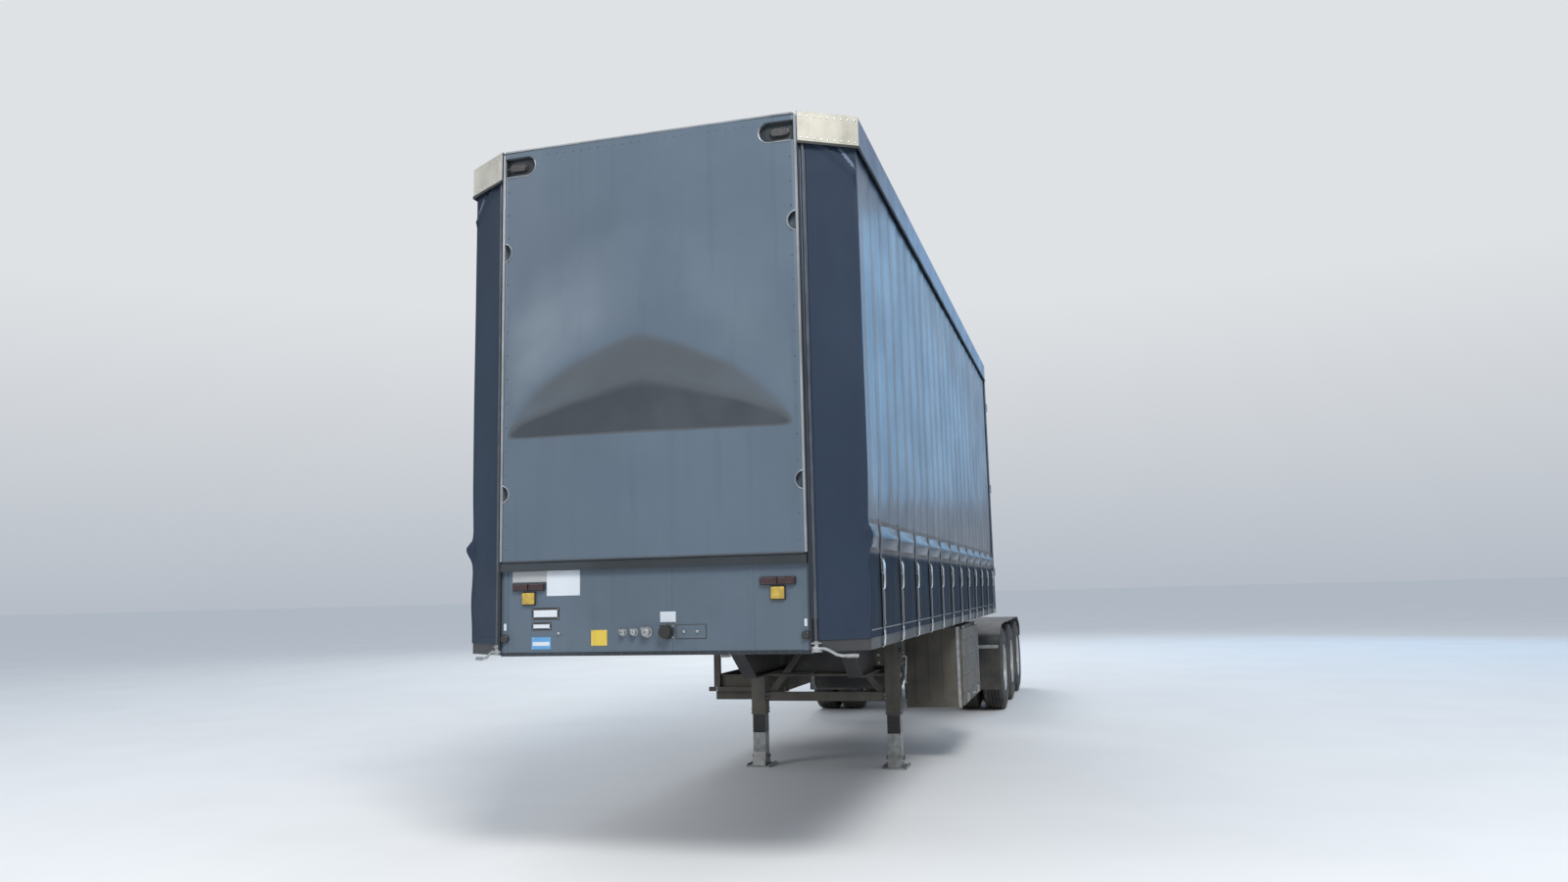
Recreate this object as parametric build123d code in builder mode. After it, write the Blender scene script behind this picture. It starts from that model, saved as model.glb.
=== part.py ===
"""Curtain-sided lead semi trailer of a road train, parked on its landing legs.

Millimetres, +Z up. The flat front faces -Y and the tail points to +Y. +X is the vehicle's left.
The origin lies on the ground, under the middle of the overall length and width.
"""
from build123d import *
from math import sqrt
import os

os.makedirs("parts", exist_ok=True)

# Overall body
overall_height = 4300.0
half_width = 1250.0
body_length = 8000.0
tail_end = 12240.0
corner_inset = 316.0
corner_depth = 197.0

# Clearances
seat_gap = 0.3
swing_gap = 5.0
pin_gap = 0.3
pin_sides = 8
ring_sides = 12

# Heights of the running gear and of the load floor
coupling_height = 1235.0
gooseneck_depth = 157.0
deck_thickness = 28.0
turntable_stack = 170.0
tail_rail_depth = 215.0

# Front wall and its proud outer panel
wall_clearance = 9.0
wall_thickness = 40.0
panel_thickness = 35.0
panel_side_gap = 10.0
panel_rise = 536.0
panel_edge_radius = 26.0
lip_height = 48.0
lip_face = 4.0
lip_top_face = 10.0
dome_rise = 62.0
dome_side_margin = 46.0
dome_crease_height = 2510.0
dome_height = 830.0
lamp_recess_length = 190.0
lamp_recess_height = 125.0
lamp_recess_depth = 22.0
lamp_recess_drop = 100.0
notch_radius = 62.0
notch_heights = (3655.0, 2185.0)

# Front lamps and service couplings
corner_lamp_inset = 95.0
corner_lamp_width = 110.0
corner_lamp_height = 46.0
corner_lamp_depth = 16.0
front_lamp_inset = 172.0
front_lamp_rise = 396.0
front_lamp_step = 64.0
front_lamp_depth = 24.0
front_bar_width = 205.0
front_bar_height = 40.0
front_square_width = 84.0
front_square_height = 74.0
coupling_rise = 128.0

# Coamings, roof and corner posts
coaming_height = 190.0
coaming_width = 80.0
coaming_sheet = 6.0
coaming_lap = 60.0
track_width = 12.0
track_drop = 34.0
roof_thickness = 14.0
roof_drop = 10.0
bow_count = 9
bow_width = 50.0
bow_depth = 40.0
post_thickness = 40.0
post_return = 90.0

# Side curtains, their poles, straps and buckles
curtain_inset = 20.0
curtain_thickness = 6.0
curtain_lap = 115.0
pole_radius = 9.5
pole_inset = 16.2
pole_offset = 22.0
pole_sink = 10.0
pole_clearance = 2.0
curtain_tail_gap = 8.0
strap_count = 12
strap_first = 560.0
strap_pitch = 654.0
strap_width = 50.0
strap_thickness = 3.0
strap_length = 670.0
strap_tail = 25.0
buckle_rise = 285.0
buckle_height = 175.0
buckle_width = 60.0
buckle_foot = 30.0
buckle_slope = 60.0
ratchet_height = 62.0
ratchet_width = 56.0
lever_length = 270.0
lever_thickness = 7.0
lever_depth = 24.0
lever_drop = 46.0
lever_inset = 4.0
lever_bend_start = 0.34
lever_bend_end = 0.52
lever_bend_shift = 12.0
lever_margin = 5.0

# Floor frame
side_rail_depth = 178.0
side_rail_sheet = 6.0
side_rail_flange = 55.0
rail_clearance = 100.0
rail_flange_width = 120.0
rail_flange_thickness = 14.0
rail_web = 10.0
rail_nose_rise = 70.0
gooseneck_end = 2750.0
gooseneck_slope = 620.0
tail_step_end = 8150.0
cross_count = 12
cross_first = 266.0
cross_pitch = 659.0
cross_depth = 100.0
cross_sheet = 6.0
cross_flange = 45.0
cross_tip_depth = 70.0
outrigger_root = 90.0

# Coupling plate and kingpin
kingpin_station = 1350.0
plate_front = 330.0
plate_rear = 2450.0
plate_thickness = 10.0
plate_nose_length = 150.0
pin_shoulder_radius = 36.5
pin_neck_radius = 25.4
pin_collar_radius = 35.7
pin_shoulder_length = 35.0
pin_neck_length = 36.0
pin_collar_length = 13.0
pin_flange_radius = 200.0
pin_flange_thickness = 14.0
pin_hole_gap = 0.8
pin_play = 3.0

# Landing legs
leg_station = 4195.0
leg_offset = 165.0
leg_size = 130.0
leg_wall = 6.0
leg_top_gap = 62.0
leg_tube_bottom = 465.0
leg_inner_top = 900.0
leg_bore_room = 60.0
leg_bracket_half = 45.0
leg_bracket_sheet = 10.0
leg_bracket_low = 30.0
leg_bracket_drop = 20.0
foot_length = 220.0
foot_width = 250.0
foot_gusset_half = 100.0
foot_plate = 14.0
foot_height = 125.0
brace_bar_low = 580.0
brace_bar_height = 80.0
brace_bar_depth = 50.0
brace_strip_thickness = 10.0
brace_apex_half = 40.0
brace_setback = 3.0
brace_foot_high = 15.0
brace_foot_low = 10.0
brace_foot_run = 30.0
leg_shaft_radius = 15.0
leg_shaft_height = 815.0
frame_plate_thickness = 10.0
frame_plate_drop = 20.0
frame_plate_setback = 95.0
frame_plate_flange = 60.0
crank_radius = 9.0
crank_height = 975.0
crank_reach = 64.0
crank_bend = 20.0
crank_drop = 210.0
crank_handle = 170.0

# Tool box on the left side
box_front = 4450.0
box_length = 1500.0
box_depth = 495.0
box_inset = 55.0
box_bottom = 500.0
box_top_gap = 37.0
box_sheet = 4.0
box_frame = 40.0
box_hanger_inset = 20.0
box_hanger_width = 50.0
box_hanger_drop = 30.0
box_hanger_sheet = 8.0
lid_thickness = 20.0
lid_overlap = 12.0
lid_hinge_drop = 10.0
lid_relief = 15.0
lid_plate_width = 9.0
lid_plate_lap = 3.0
lid_pin_radius = 5.0
lid_knuckle_radius = 9.0
lid_knuckle_length = 60.0
lid_knuckle_inset = 220.0

# Dunnage tray on the right side
tray_front = 4500.0
tray_length = 1950.0
tray_width = 460.0
tray_inset = 90.0
tray_bottom = 560.0
tray_top = 790.0
tray_sheet = 4.0
tray_post = 60.0
tray_post_inset = 112.0
tray_bar_level = 660.0
tray_bar_height = 40.0
tray_bar_inset = 28.0

# Air tanks across the frame
tank_radius = 125.0
tank_end_inset = 5.0
tank_drop = 150.0
tank_stations = (5450.0, 5840.0)
tank_bracket_width = 50.0
tank_bracket_length = 120.0
tank_bracket_inset = 30.0

# Axles and suspension
axle_stations = (9050.0, 10300.0, 11550.0)
axle_size = 127.0
hanger_lead = 470.0
hanger_sheet = 12.0
hanger_length = 170.0
hanger_tip_rise = 25.0
hanger_waist = 60.0
hanger_tip_half = 45.0
pivot_rise = 90.0
arm_width = 76.0
arm_depth = 70.0
arm_eye_radius = 52.0
arm_saddle_half = 90.0
arm_shoulder = 60.0
spring_lag = 330.0
spring_radius = 120.0
spring_piston_radius = 80.0
spring_piston_height = 60.0
spring_height = 160.0
spring_seat_depth = 60.0
spring_seat_front = 120.0
spring_seat_rear = 90.0
chamber_radius = 72.0
chamber_length = 150.0
chamber_inset = 210.0
chamber_bracket = 40.0
chamber_lift = 20.0

# Wheels, two tyres on each hub
tyre_room = 25.0
tyre_half_width = 140.0
tyre_shoulder = 30.0
tyre_sides = 40
bead_radius = 287.0
tyre_inset = 145.0
twin_pitch = 335.0
rim_half_width = 125.0
dish_radius = 248.0
disc_inset = 65.0
hub_radius = 100.0
hub_proud = 45.0
drum_proud = 10.0
barrel_sides = 20

# Mudguards and flaps
guard_front = 8400.0
guard_rear = 12200.0
guard_width = 618.0
guard_inset = 10.0
guard_sheet = 6.0
stay_height = 30.0
guard_slope = 380.0
guard_skirt = 301.0
guard_drop = 140.0
flap_thickness = 8.0
flap_bottom = 300.0
flap_margin = 20.0
flap_lap = 60.0
stay_stations = (8860.0, 9480.0, 10450.0, 11100.0, 11740.0)
stay_width = 40.0
stay_inset = 40.0

# Rear turntable
turntable_station = 9930.0
turntable_radius = 480.0
turntable_side_gap = 90.0
turntable_skin = 14.0
turntable_rim = 16.0
turntable_depth = 60.0
turntable_pivot_drop = 95.0
turntable_pin_radius = 20.0
turntable_beam_half = 45.0
turntable_beam_inset = 60.0
turntable_ear_gap = 5.0
turntable_ear = 34.0
ear_radius = 38.0
ear_foot = 110.0
base_half_length = 360.0
base_thickness = 12.0
throat_radius = 26.0
jaw_thickness = 33.0
jaw_drop = 1.0
throat_mouth = 235.0
throat_start = 85.0
throat_half = 40.0
ramp_front = 10470.0
ramp_rear = 12080.0
ramp_height = 62.0
ramp_width = 60.0
ramp_lip = 12.0
ramp_flat = 260.0

# Rear frame and doors
rear_post_depth = 60.0
rear_post_width = 134.0
rear_post_inset = 6.0
sill_height = 120.0
door_thickness = 35.0
door_side_gap = 35.0
door_middle_gap = 6.0
door_bottom_gap = 10.0
door_head_drop = 10.0
door_head_lap = 20.0
hinge_proud = 30.0
hinge_margin = 320.0
hinge_radius = 14.0
hinge_pin_radius = 8.0
hinge_half_height = 50.0
hinge_blade_length = 190.0
hinge_blade_thickness = 8.0
hinge_blade_heel = 22.0
hinge_blade_toe = 4.0
lock_offset = 360.0
lock_radius = 13.0
lock_gap = 10.0
lock_overrun = 40.0
guide_low_rise = 130.0
guide_high_drop = 110.0
lock_guide_size = 46.0
handle_rise = 720.0
handle_length = 420.0
handle_height = 34.0
handle_thickness = 12.0

# Tail beam and lamps
tail_beam_depth = 60.0
tail_beam_height = 165.0
tail_lamp_width = 260.0
tail_lamp_height = 90.0
tail_lamp_depth = 30.0
tail_lamp_inset = 80.0

# Heights that follow from the coupling height: floor, walls, curtains, rails and wheels
front_y = -(tail_end + tail_lamp_depth - dome_rise) / 2
rail_front_bottom = coupling_height + plate_thickness
deck_bottom = rail_front_bottom + gooseneck_depth
deck_top = deck_bottom + deck_thickness
side_rail_bottom = deck_top - side_rail_depth
cross_bottom = deck_bottom - cross_depth
sill_low = deck_top - sill_height
curtain_bottom = deck_top - curtain_lap
strap_bottom = curtain_bottom - strap_tail
strap_top = strap_bottom + strap_length
buckle_bottom = strap_bottom + buckle_rise
buckle_top = buckle_bottom + buckle_height
wall_bottom = coupling_height + wall_clearance
panel_bottom = wall_bottom + panel_rise
front_lamp_height = wall_bottom + front_lamp_rise
coupling_level = wall_bottom + coupling_rise
box_top = side_rail_bottom - box_top_gap
lid_hinge_height = box_top - lid_hinge_drop
leg_top = cross_bottom - leg_top_gap
turntable_pivot_height = coupling_height - turntable_pivot_drop
tail_rail_top = coupling_height - turntable_stack
tail_beam_low = tail_rail_top - tail_beam_height
rail_bottom = tail_rail_top - tail_rail_depth
frame_plate_bottom = rail_bottom - frame_plate_drop
tank_height = rail_bottom - tank_drop
spring_seat = rail_bottom - spring_height
tyre_radius = (tail_rail_top - tyre_room) / 2
axle_height = tyre_radius
pivot_height = axle_height + pivot_rise
hanger_low = axle_height + hanger_tip_rise
guard_top = tail_rail_top + stay_height + guard_sheet
guard_low = guard_top - guard_skirt

# Heights that follow from the overall height: coamings, roof and doors
coaming_bottom = overall_height - coaming_height
curtain_top = overall_height - coaming_sheet - track_drop - seat_gap
roof_top = overall_height - roof_drop
roof_bottom = roof_top - roof_thickness
door_head = coaming_bottom - door_head_drop
handle_level = deck_top + handle_rise
hinge_low = deck_top + hinge_margin
hinge_high = coaming_bottom - hinge_margin
hinge_levels = (hinge_low, (hinge_low + hinge_high) / 2, hinge_high)
guide_low = deck_top + guide_low_rise
guide_high = coaming_bottom - guide_high_drop
lock_guide_levels = (guide_low, (guide_low + guide_high) / 2, guide_high)

# Places across that follow from the overall width
flat_half = half_width - corner_inset
panel_half_width = flat_half - panel_side_gap
dome_half_width = panel_half_width - dome_side_margin
front_lamp_centre = panel_half_width - front_lamp_inset
curtain_inner_inset = curtain_inset + curtain_thickness
post_inset = curtain_inner_inset + seat_gap
rail_face_inset = curtain_inner_inset + seat_gap
rail_face = half_width - rail_face_inset
rear_post_outer = half_width - rear_post_inset
rear_post_inner = rear_post_outer - rear_post_width
door_edge = half_width - door_side_gap
hinge_x = half_width - hinge_radius
box_outer = half_width - box_inset
box_inner = box_outer - box_depth
tray_outer = half_width - tray_inset
tray_inner = tray_outer - tray_width
tray_post_centre = half_width - tray_post_inset
tray_bar_end = half_width - tray_bar_inset
guard_outer = half_width - guard_inset
guard_inner = guard_outer - guard_width
stay_end = guard_outer - stay_inset
outer_tyre_centre = half_width - tyre_inset
inner_tyre_centre = outer_tyre_centre - twin_pitch
disc_face = outer_tyre_centre - disc_inset
hub_end = outer_tyre_centre + hub_proud
drum_inner = inner_tyre_centre - tyre_half_width - drum_proud
rail_outer = drum_inner - rail_clearance
rail_centre = rail_outer - rail_flange_width / 2
rail_inner = rail_outer - rail_flange_width
web_outer = rail_centre + rail_web / 2
web_inner = rail_centre - rail_web / 2
plate_half_width = rail_outer
turntable_half_width = rail_outer - turntable_side_gap
leg_centre = rail_centre + leg_offset
chamber_offset = rail_centre - chamber_inset
tank_half_length = rail_centre - tank_end_inset
tank_bracket_centre = rail_centre - tank_bracket_inset
tail_lamp_centre = rail_centre - tail_lamp_inset

# Places along
body_end = body_length - rear_post_depth
wall_face = panel_thickness
wall_back = panel_thickness + wall_thickness
sides = (("left", 1), ("right", -1))


def st(distance):
    """Y of a station, given as its distance behind the flat front."""
    return front_y + distance


corner_run = sqrt(corner_inset**2 + corner_depth**2)
along_x = corner_inset / corner_run
along_y = corner_depth / corner_run


def corner_line(inset, start):
    """Points of the body's plan outline, moved inwards: front edge, outer corner."""
    reach = (start + along_y * inset) / along_x
    first = (flat_half + start, along_x * inset + along_y * reach)
    side_x = half_width - inset
    turn = (side_x - flat_half + along_y * inset) / along_x
    second = (side_x, along_x * inset + along_y * turn)
    return first, second


def side_band(outer, inner, start, end):
    """Plan polygon of a strip round the front corner and back along the side."""
    outer_first, outer_turn = corner_line(outer, start)
    inner_first, inner_turn = corner_line(inner, start)
    outline = [outer_first, outer_turn, (half_width - outer, end), (half_width - inner, end)]
    outline += [inner_turn, inner_first]
    return [(x, st(y)) for x, y in outline]


def mirrored(points, side):
    """The same plan points on the chosen side of the middle plane."""
    return [(side * x, y) for x, y in points]


def finish(part, label):
    part.label = label
    export_step(part, f"parts/{label}.step")


# Front wall: the main sheet with its top rail and bottom capping
with BuildPart() as front_wall:
    with BuildSketch(Plane.XY.offset(wall_bottom)):
        with Locations((0, st(wall_face + wall_thickness / 2))):
            Rectangle(2 * flat_half, wall_thickness)
    extrude(amount=roof_bottom - wall_bottom)
finish(front_wall.part, "front_wall")

# Front panel: proud skin with rounded edges, a swollen dent, lamp recesses and side notches
dome_profile = (
    # height share, rise share
    (0.0, 0.0),
    (0.14, 0.75),
    (0.36, 1.0),
    (0.72, 0.55),
    (1.0, 0.0),
)
dome_plan = (
    # share of the half width, rise share
    (-1.0, 0.0),
    (-0.76, 0.55),
    (-0.42, 0.9),
    (0.0, 1.0),
    (0.42, 0.9),
    (0.76, 0.55),
    (1.0, 0.0),
)
dome_front = (
    # share of the half width, height share
    (-1.0, 0.0),
    (-0.84, 0.4),
    (-0.38, 0.92),
    (0.0, 1.0),
    (0.38, 0.92),
    (0.84, 0.4),
    (1.0, 0.0),
)
panel_top = roof_top
panel_back = wall_face - seat_gap
dome_root = st(panel_back / 2)
dome_top = dome_crease_height + dome_height
with BuildPart() as front_panel:
    with BuildSketch(Plane.XY.offset(panel_bottom)):
        with Locations((0, st(panel_back / 2))):
            Rectangle(2 * panel_half_width, panel_back)
    extrude(amount=panel_top - panel_bottom)
    fillet(front_panel.edges().filter_by(Axis.Z).group_by(Axis.Y)[0], panel_edge_radius)
    with BuildPart(mode=Mode.PRIVATE) as dome:
        with BuildSketch(Plane.YZ):
            profile = [
                (st(-rise * dome_rise), dome_crease_height + share * dome_height)
                for share, rise in dome_profile
            ]
            Polygon(*profile, (dome_root, dome_top), (dome_root, dome_crease_height), align=None)
        extrude(amount=dome_half_width, both=True)
        with BuildSketch(Plane.XY.offset(dome_crease_height)):
            plan = [(share * dome_half_width, st(-rise * dome_rise)) for share, rise in dome_plan]
            Polygon(*plan, (dome_half_width, dome_root), (-dome_half_width, dome_root), align=None)
        extrude(amount=dome_height, mode=Mode.INTERSECT)
        with BuildSketch(Plane.XZ.offset(-dome_root)):
            front = [
                (share * dome_half_width, dome_crease_height + rise * dome_height)
                for share, rise in dome_front
            ]
            Polygon(*front, align=None)
        extrude(amount=dome_root - st(-dome_rise), mode=Mode.INTERSECT)
    add(dome.part)
    lamp_level = panel_top - lamp_recess_drop
    recess_half = lamp_recess_height / 2
    recess_inner = panel_half_width - lamp_recess_length
    with BuildSketch(Plane.XZ.offset(-st(0))):
        for side_name, side in sides:
            recess = (
                (panel_half_width, lamp_level + recess_half),
                (recess_inner + recess_half / 2, lamp_level + recess_half),
                (recess_inner, lamp_level + recess_half / 2),
                (recess_inner, lamp_level - recess_half / 2),
                (recess_inner + recess_half / 2, lamp_level - recess_half),
                (panel_half_width, lamp_level - recess_half),
            )
            Polygon(*mirrored(recess, side), align=None)
    extrude(amount=-lamp_recess_depth, mode=Mode.SUBTRACT)
    with BuildSketch(Plane.XZ.offset(-st(0))):
        for level in notch_heights:
            for side_name, side in sides:
                with Locations((side * panel_half_width, level)):
                    RegularPolygon(notch_radius, ring_sides)
    extrude(amount=-panel_back, mode=Mode.SUBTRACT)
finish(front_panel.part, "front_panel")

# Dark capping under the proud panel
with BuildPart() as panel_lip:
    with BuildSketch(Plane.YZ):
        Polygon(
            (st(lip_face), panel_bottom - lip_height),
            (st(wall_face - seat_gap), panel_bottom - lip_height),
            (st(wall_face - seat_gap), panel_bottom),
            (st(lip_top_face), panel_bottom),
            align=None,
        )
    extrude(amount=panel_half_width, both=True)
finish(panel_lip.part, "panel_lip")

# Lamps: two in the corner recesses, two bars and two square ones low down, two at the tail
with BuildPart() as lamps:
    with BuildSketch(Plane.XZ.offset(-st(lamp_recess_depth))):
        for side_name, side in sides:
            with Locations((side * (panel_half_width - corner_lamp_inset), lamp_level)):
                Rectangle(corner_lamp_width, corner_lamp_height)
    extrude(amount=corner_lamp_depth)
    with BuildSketch(Plane.XZ.offset(-st(wall_face))):
        for side_name, side in sides:
            with Locations((side * front_lamp_centre, front_lamp_height)):
                Rectangle(front_bar_width, front_bar_height)
            with Locations((side * front_lamp_centre, front_lamp_height - front_lamp_step)):
                Rectangle(front_square_width, front_square_height)
    extrude(amount=front_lamp_depth)
    with BuildSketch(Plane.XZ.offset(-st(tail_end))):
        for side_name, side in sides:
            with Locations((side * tail_lamp_centre, (tail_beam_low + tail_rail_top) / 2)):
                Rectangle(tail_lamp_width, tail_lamp_height)
    extrude(amount=-tail_lamp_depth)
finish(lamps.part, "lamps")

# Service couplings: three air and oil couplings and one electric socket
coupling_table = (
    # place across, outer radius, length
    (-160.0, 17.0, 34.0),
    (-92.0, 17.0, 34.0),
    (-16.0, 24.0, 42.0),
    (104.0, 40.0, 52.0),
)
with BuildPart() as service_couplings:
    for across, radius, length in coupling_table:
        with BuildSketch(Plane.XZ.offset(-st(wall_face))):
            with Locations((across, coupling_level)):
                RegularPolygon(radius, pin_sides)
        extrude(amount=length)
finish(service_couplings.part, "service_couplings")

# Corner posts behind the curtain's slanting front edge
with BuildPart() as corner_posts:
    for side_name, side in sides:
        with BuildSketch(Plane.XY.offset(deck_top)):
            band = side_band(
                post_inset, post_inset + post_thickness, 0, corner_depth + post_return
            )
            Polygon(*mirrored(band, side), align=None)
        extrude(amount=coaming_bottom + coaming_lap - deck_top)
finish(corner_posts.part, "corner_posts")

# Coamings: channel with the curtain's track, carried round the slanting corner
coaming_strips = (
    # outer inset, inner inset, low, high
    (0, coaming_sheet, coaming_bottom, overall_height),
    (0, coaming_width, overall_height - coaming_sheet, overall_height),
    (
        coaming_width - coaming_sheet,
        coaming_width,
        coaming_bottom + coaming_lap,
        overall_height,
    ),
    (
        curtain_inset + curtain_thickness / 2 - track_width / 2,
        curtain_inset + curtain_thickness / 2 + track_width / 2,
        overall_height - coaming_sheet - track_drop,
        overall_height,
    ),
)
with BuildPart() as coamings:
    for side_name, side in sides:
        for outer, inner, low, high in coaming_strips:
            with BuildSketch(Plane.XY.offset(low)):
                Polygon(*mirrored(side_band(outer, inner, 0, body_end), side), align=None)
            extrude(amount=high - low)
finish(coamings.part, "coamings")

# Roof sheet and the bows that carry it
roof_first, roof_turn = corner_line(coaming_width, 0)
with BuildPart() as roof:
    with BuildSketch(Plane.XY.offset(roof_bottom)):
        Polygon(
            (-flat_half, st(wall_face)),
            (flat_half, st(wall_face)),
            (flat_half, st(roof_first[1])),
            (roof_turn[0], st(roof_turn[1])),
            (roof_turn[0], st(body_end)),
            (-roof_turn[0], st(body_end)),
            (-roof_turn[0], st(roof_turn[1])),
            (-flat_half, st(roof_first[1])),
            align=None,
        )
    extrude(amount=roof_thickness)
finish(roof.part, "roof")

bow_pitch = (body_end - wall_back) / (bow_count + 1)
with BuildPart() as roof_bows:
    with BuildSketch(Plane.XY.offset(roof_bottom - bow_depth)):
        for index in range(bow_count):
            with Locations((0, st(wall_back + bow_pitch * (index + 1)))):
                Rectangle(2 * (half_width - coaming_width), bow_width)
    extrude(amount=bow_depth)
finish(roof_bows.part, "roof_bows")

# Side curtains, one closed sheet each from the front pole to the rear pole
curtain_start = pole_offset + pole_radius + pole_clearance
curtain_end = body_end - 2 * pole_radius - curtain_tail_gap
for side_name, side in sides:
    with BuildPart() as curtain:
        with BuildSketch(Plane.XY.offset(curtain_bottom)):
            band = side_band(curtain_inset, curtain_inner_inset, curtain_start, curtain_end)
            Polygon(*mirrored(band, side), align=None)
        extrude(amount=curtain_top - curtain_bottom)
    finish(curtain.part, f"curtain_{side_name}")

# Webbing straps down the curtains
strap_face = half_width - curtain_inset + seat_gap
strap_stations = [strap_first + strap_pitch * index for index in range(strap_count)]
with BuildPart() as curtain_straps:
    with BuildSketch(Plane.XY.offset(strap_bottom)):
        for side_name, side in sides:
            for station in strap_stations:
                with Locations((side * (strap_face + strap_thickness / 2), st(station))):
                    Rectangle(strap_thickness, strap_width)
    extrude(amount=strap_top - strap_bottom)
finish(curtain_straps.part, "curtain_straps")

# Over-centre buckles on the straps
buckle_face = strap_face + strap_thickness + seat_gap
with BuildPart() as strap_buckles:
    for side_name, side in sides:
        for station in strap_stations:
            with BuildSketch(Plane.XZ.offset(-st(station))):
                buckle = (
                    (buckle_face, buckle_bottom),
                    (half_width, buckle_bottom + buckle_foot),
                    (half_width, buckle_top - buckle_slope),
                    (buckle_face, buckle_top),
                )
                Polygon(*mirrored(buckle, side), align=None)
            extrude(amount=buckle_width / 2, both=True)
finish(strap_buckles.part, "strap_buckles")

# Curtain poles with their ratchets, and the tensioning levers at the front corners
pole_first = corner_line(pole_inset, pole_offset)[0]
pole_top = curtain_top
ratchet_top = side_rail_bottom + ratchet_height
with BuildPart() as curtain_poles:
    for side_name, side in sides:
        rear_x = half_width - pole_inset
        rear_y = body_end - pole_radius - pole_clearance
        for pole_x, pole_y in (pole_first, (rear_x, rear_y)):
            with BuildSketch(Plane.XY.offset(ratchet_top - pole_sink)):
                with Locations((side * pole_x, st(pole_y))):
                    RegularPolygon(pole_radius, pin_sides)
            extrude(amount=pole_top - ratchet_top + pole_sink)
        front_outer = corner_line(lever_inset, lever_inset)[0]
        front_inner = corner_line(rail_face_inset - seat_gap, lever_inset)[0]
        end_x = along_x * ratchet_width
        end_y = along_y * ratchet_width
        ratchet = [
            (front_outer[0], st(front_outer[1])),
            (front_outer[0] + end_x, st(front_outer[1] + end_y)),
            (front_inner[0] + end_x, st(front_inner[1] + end_y)),
            (front_inner[0], st(front_inner[1])),
        ]
        with BuildSketch(Plane.XY.offset(side_rail_bottom)):
            Polygon(*mirrored(ratchet, side), align=None)
        extrude(amount=ratchet_height)
        with BuildSketch(Plane.XY.offset(side_rail_bottom)):
            with Locations((side * (half_width - pole_inset), st(rear_y))):
                Rectangle(2 * (rail_face_inset - seat_gap - pole_inset), 2 * pole_radius)
        extrude(amount=ratchet_height)
        lever_tip = (
            front_outer[0] + along_x * lever_length,
            front_outer[1] + along_y * lever_length,
        )
        lever = [
            (front_outer[0], st(front_outer[1])),
            (lever_tip[0], st(lever_tip[1])),
            (lever_tip[0] - along_y * lever_thickness, st(lever_tip[1] + along_x * lever_thickness)),
            (
                front_outer[0] - along_y * lever_thickness,
                st(front_outer[1] + along_x * lever_thickness),
            ),
        ]
        with BuildSketch(Plane.XY.offset(side_rail_bottom - lever_drop)):
            Polygon(*mirrored(lever, side), align=None)
        extrude(amount=lever_drop + lever_depth)
        bend_start = front_outer[0] + along_x * lever_length * lever_bend_start
        bend_end = front_outer[0] + along_x * lever_length * lever_bend_end
        lever_top = side_rail_bottom + lever_depth
        lever_low = side_rail_bottom - lever_drop
        with BuildSketch(Plane.XZ.offset(-st(0))):
            low_cut = (
                (front_outer[0] - lever_margin, lever_low - lever_margin),
                (bend_end, lever_low - lever_margin),
                (bend_end, lever_low),
                (bend_start, side_rail_bottom),
                (front_outer[0] - lever_margin, side_rail_bottom),
            )
            high_cut = (
                (bend_start + lever_bend_shift, lever_top + lever_margin),
                (bend_start + lever_bend_shift, lever_top),
                (bend_end + lever_bend_shift, lever_top - lever_drop),
                (half_width, lever_top - lever_drop),
                (half_width, lever_top + lever_margin),
            )
            Polygon(*mirrored(low_cut, side), align=None)
            Polygon(*mirrored(high_cut, side), align=None)
        extrude(amount=-corner_depth + lever_inset, mode=Mode.SUBTRACT)
finish(curtain_poles.part, "curtain_poles")

# Load floor
floor_turn = corner_line(rail_face_inset + side_rail_sheet, 0)[1]
with BuildPart() as deck:
    with BuildSketch(Plane.XY.offset(deck_bottom)):
        Polygon(
            (-flat_half, st(wall_back)),
            (flat_half, st(wall_back)),
            (floor_turn[0], st(floor_turn[1])),
            (floor_turn[0], st(body_end)),
            (-floor_turn[0], st(body_end)),
            (-floor_turn[0], st(floor_turn[1])),
            align=None,
        )
    extrude(amount=deck_thickness)
finish(deck.part, "deck")

# Side rails: channel section under the floor's edge, round the slanting corner too
ledge = side_rail_sheet + side_rail_flange
side_rail_strips = (
    # inner inset from the rail's face, low, high
    (side_rail_sheet, side_rail_bottom, deck_top),
    (ledge, side_rail_bottom, side_rail_bottom + side_rail_sheet),
    (ledge, deck_bottom - side_rail_sheet, deck_bottom),
)
with BuildPart() as side_rails:
    for side_name, side in sides:
        for inner, low, high in side_rail_strips:
            with BuildSketch(Plane.XY.offset(low)):
                band = side_band(rail_face_inset, rail_face_inset + inner, 0, body_end)
                Polygon(*mirrored(band, side), align=None)
            extrude(amount=high - low)
finish(side_rails.part, "side_rails")

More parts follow.
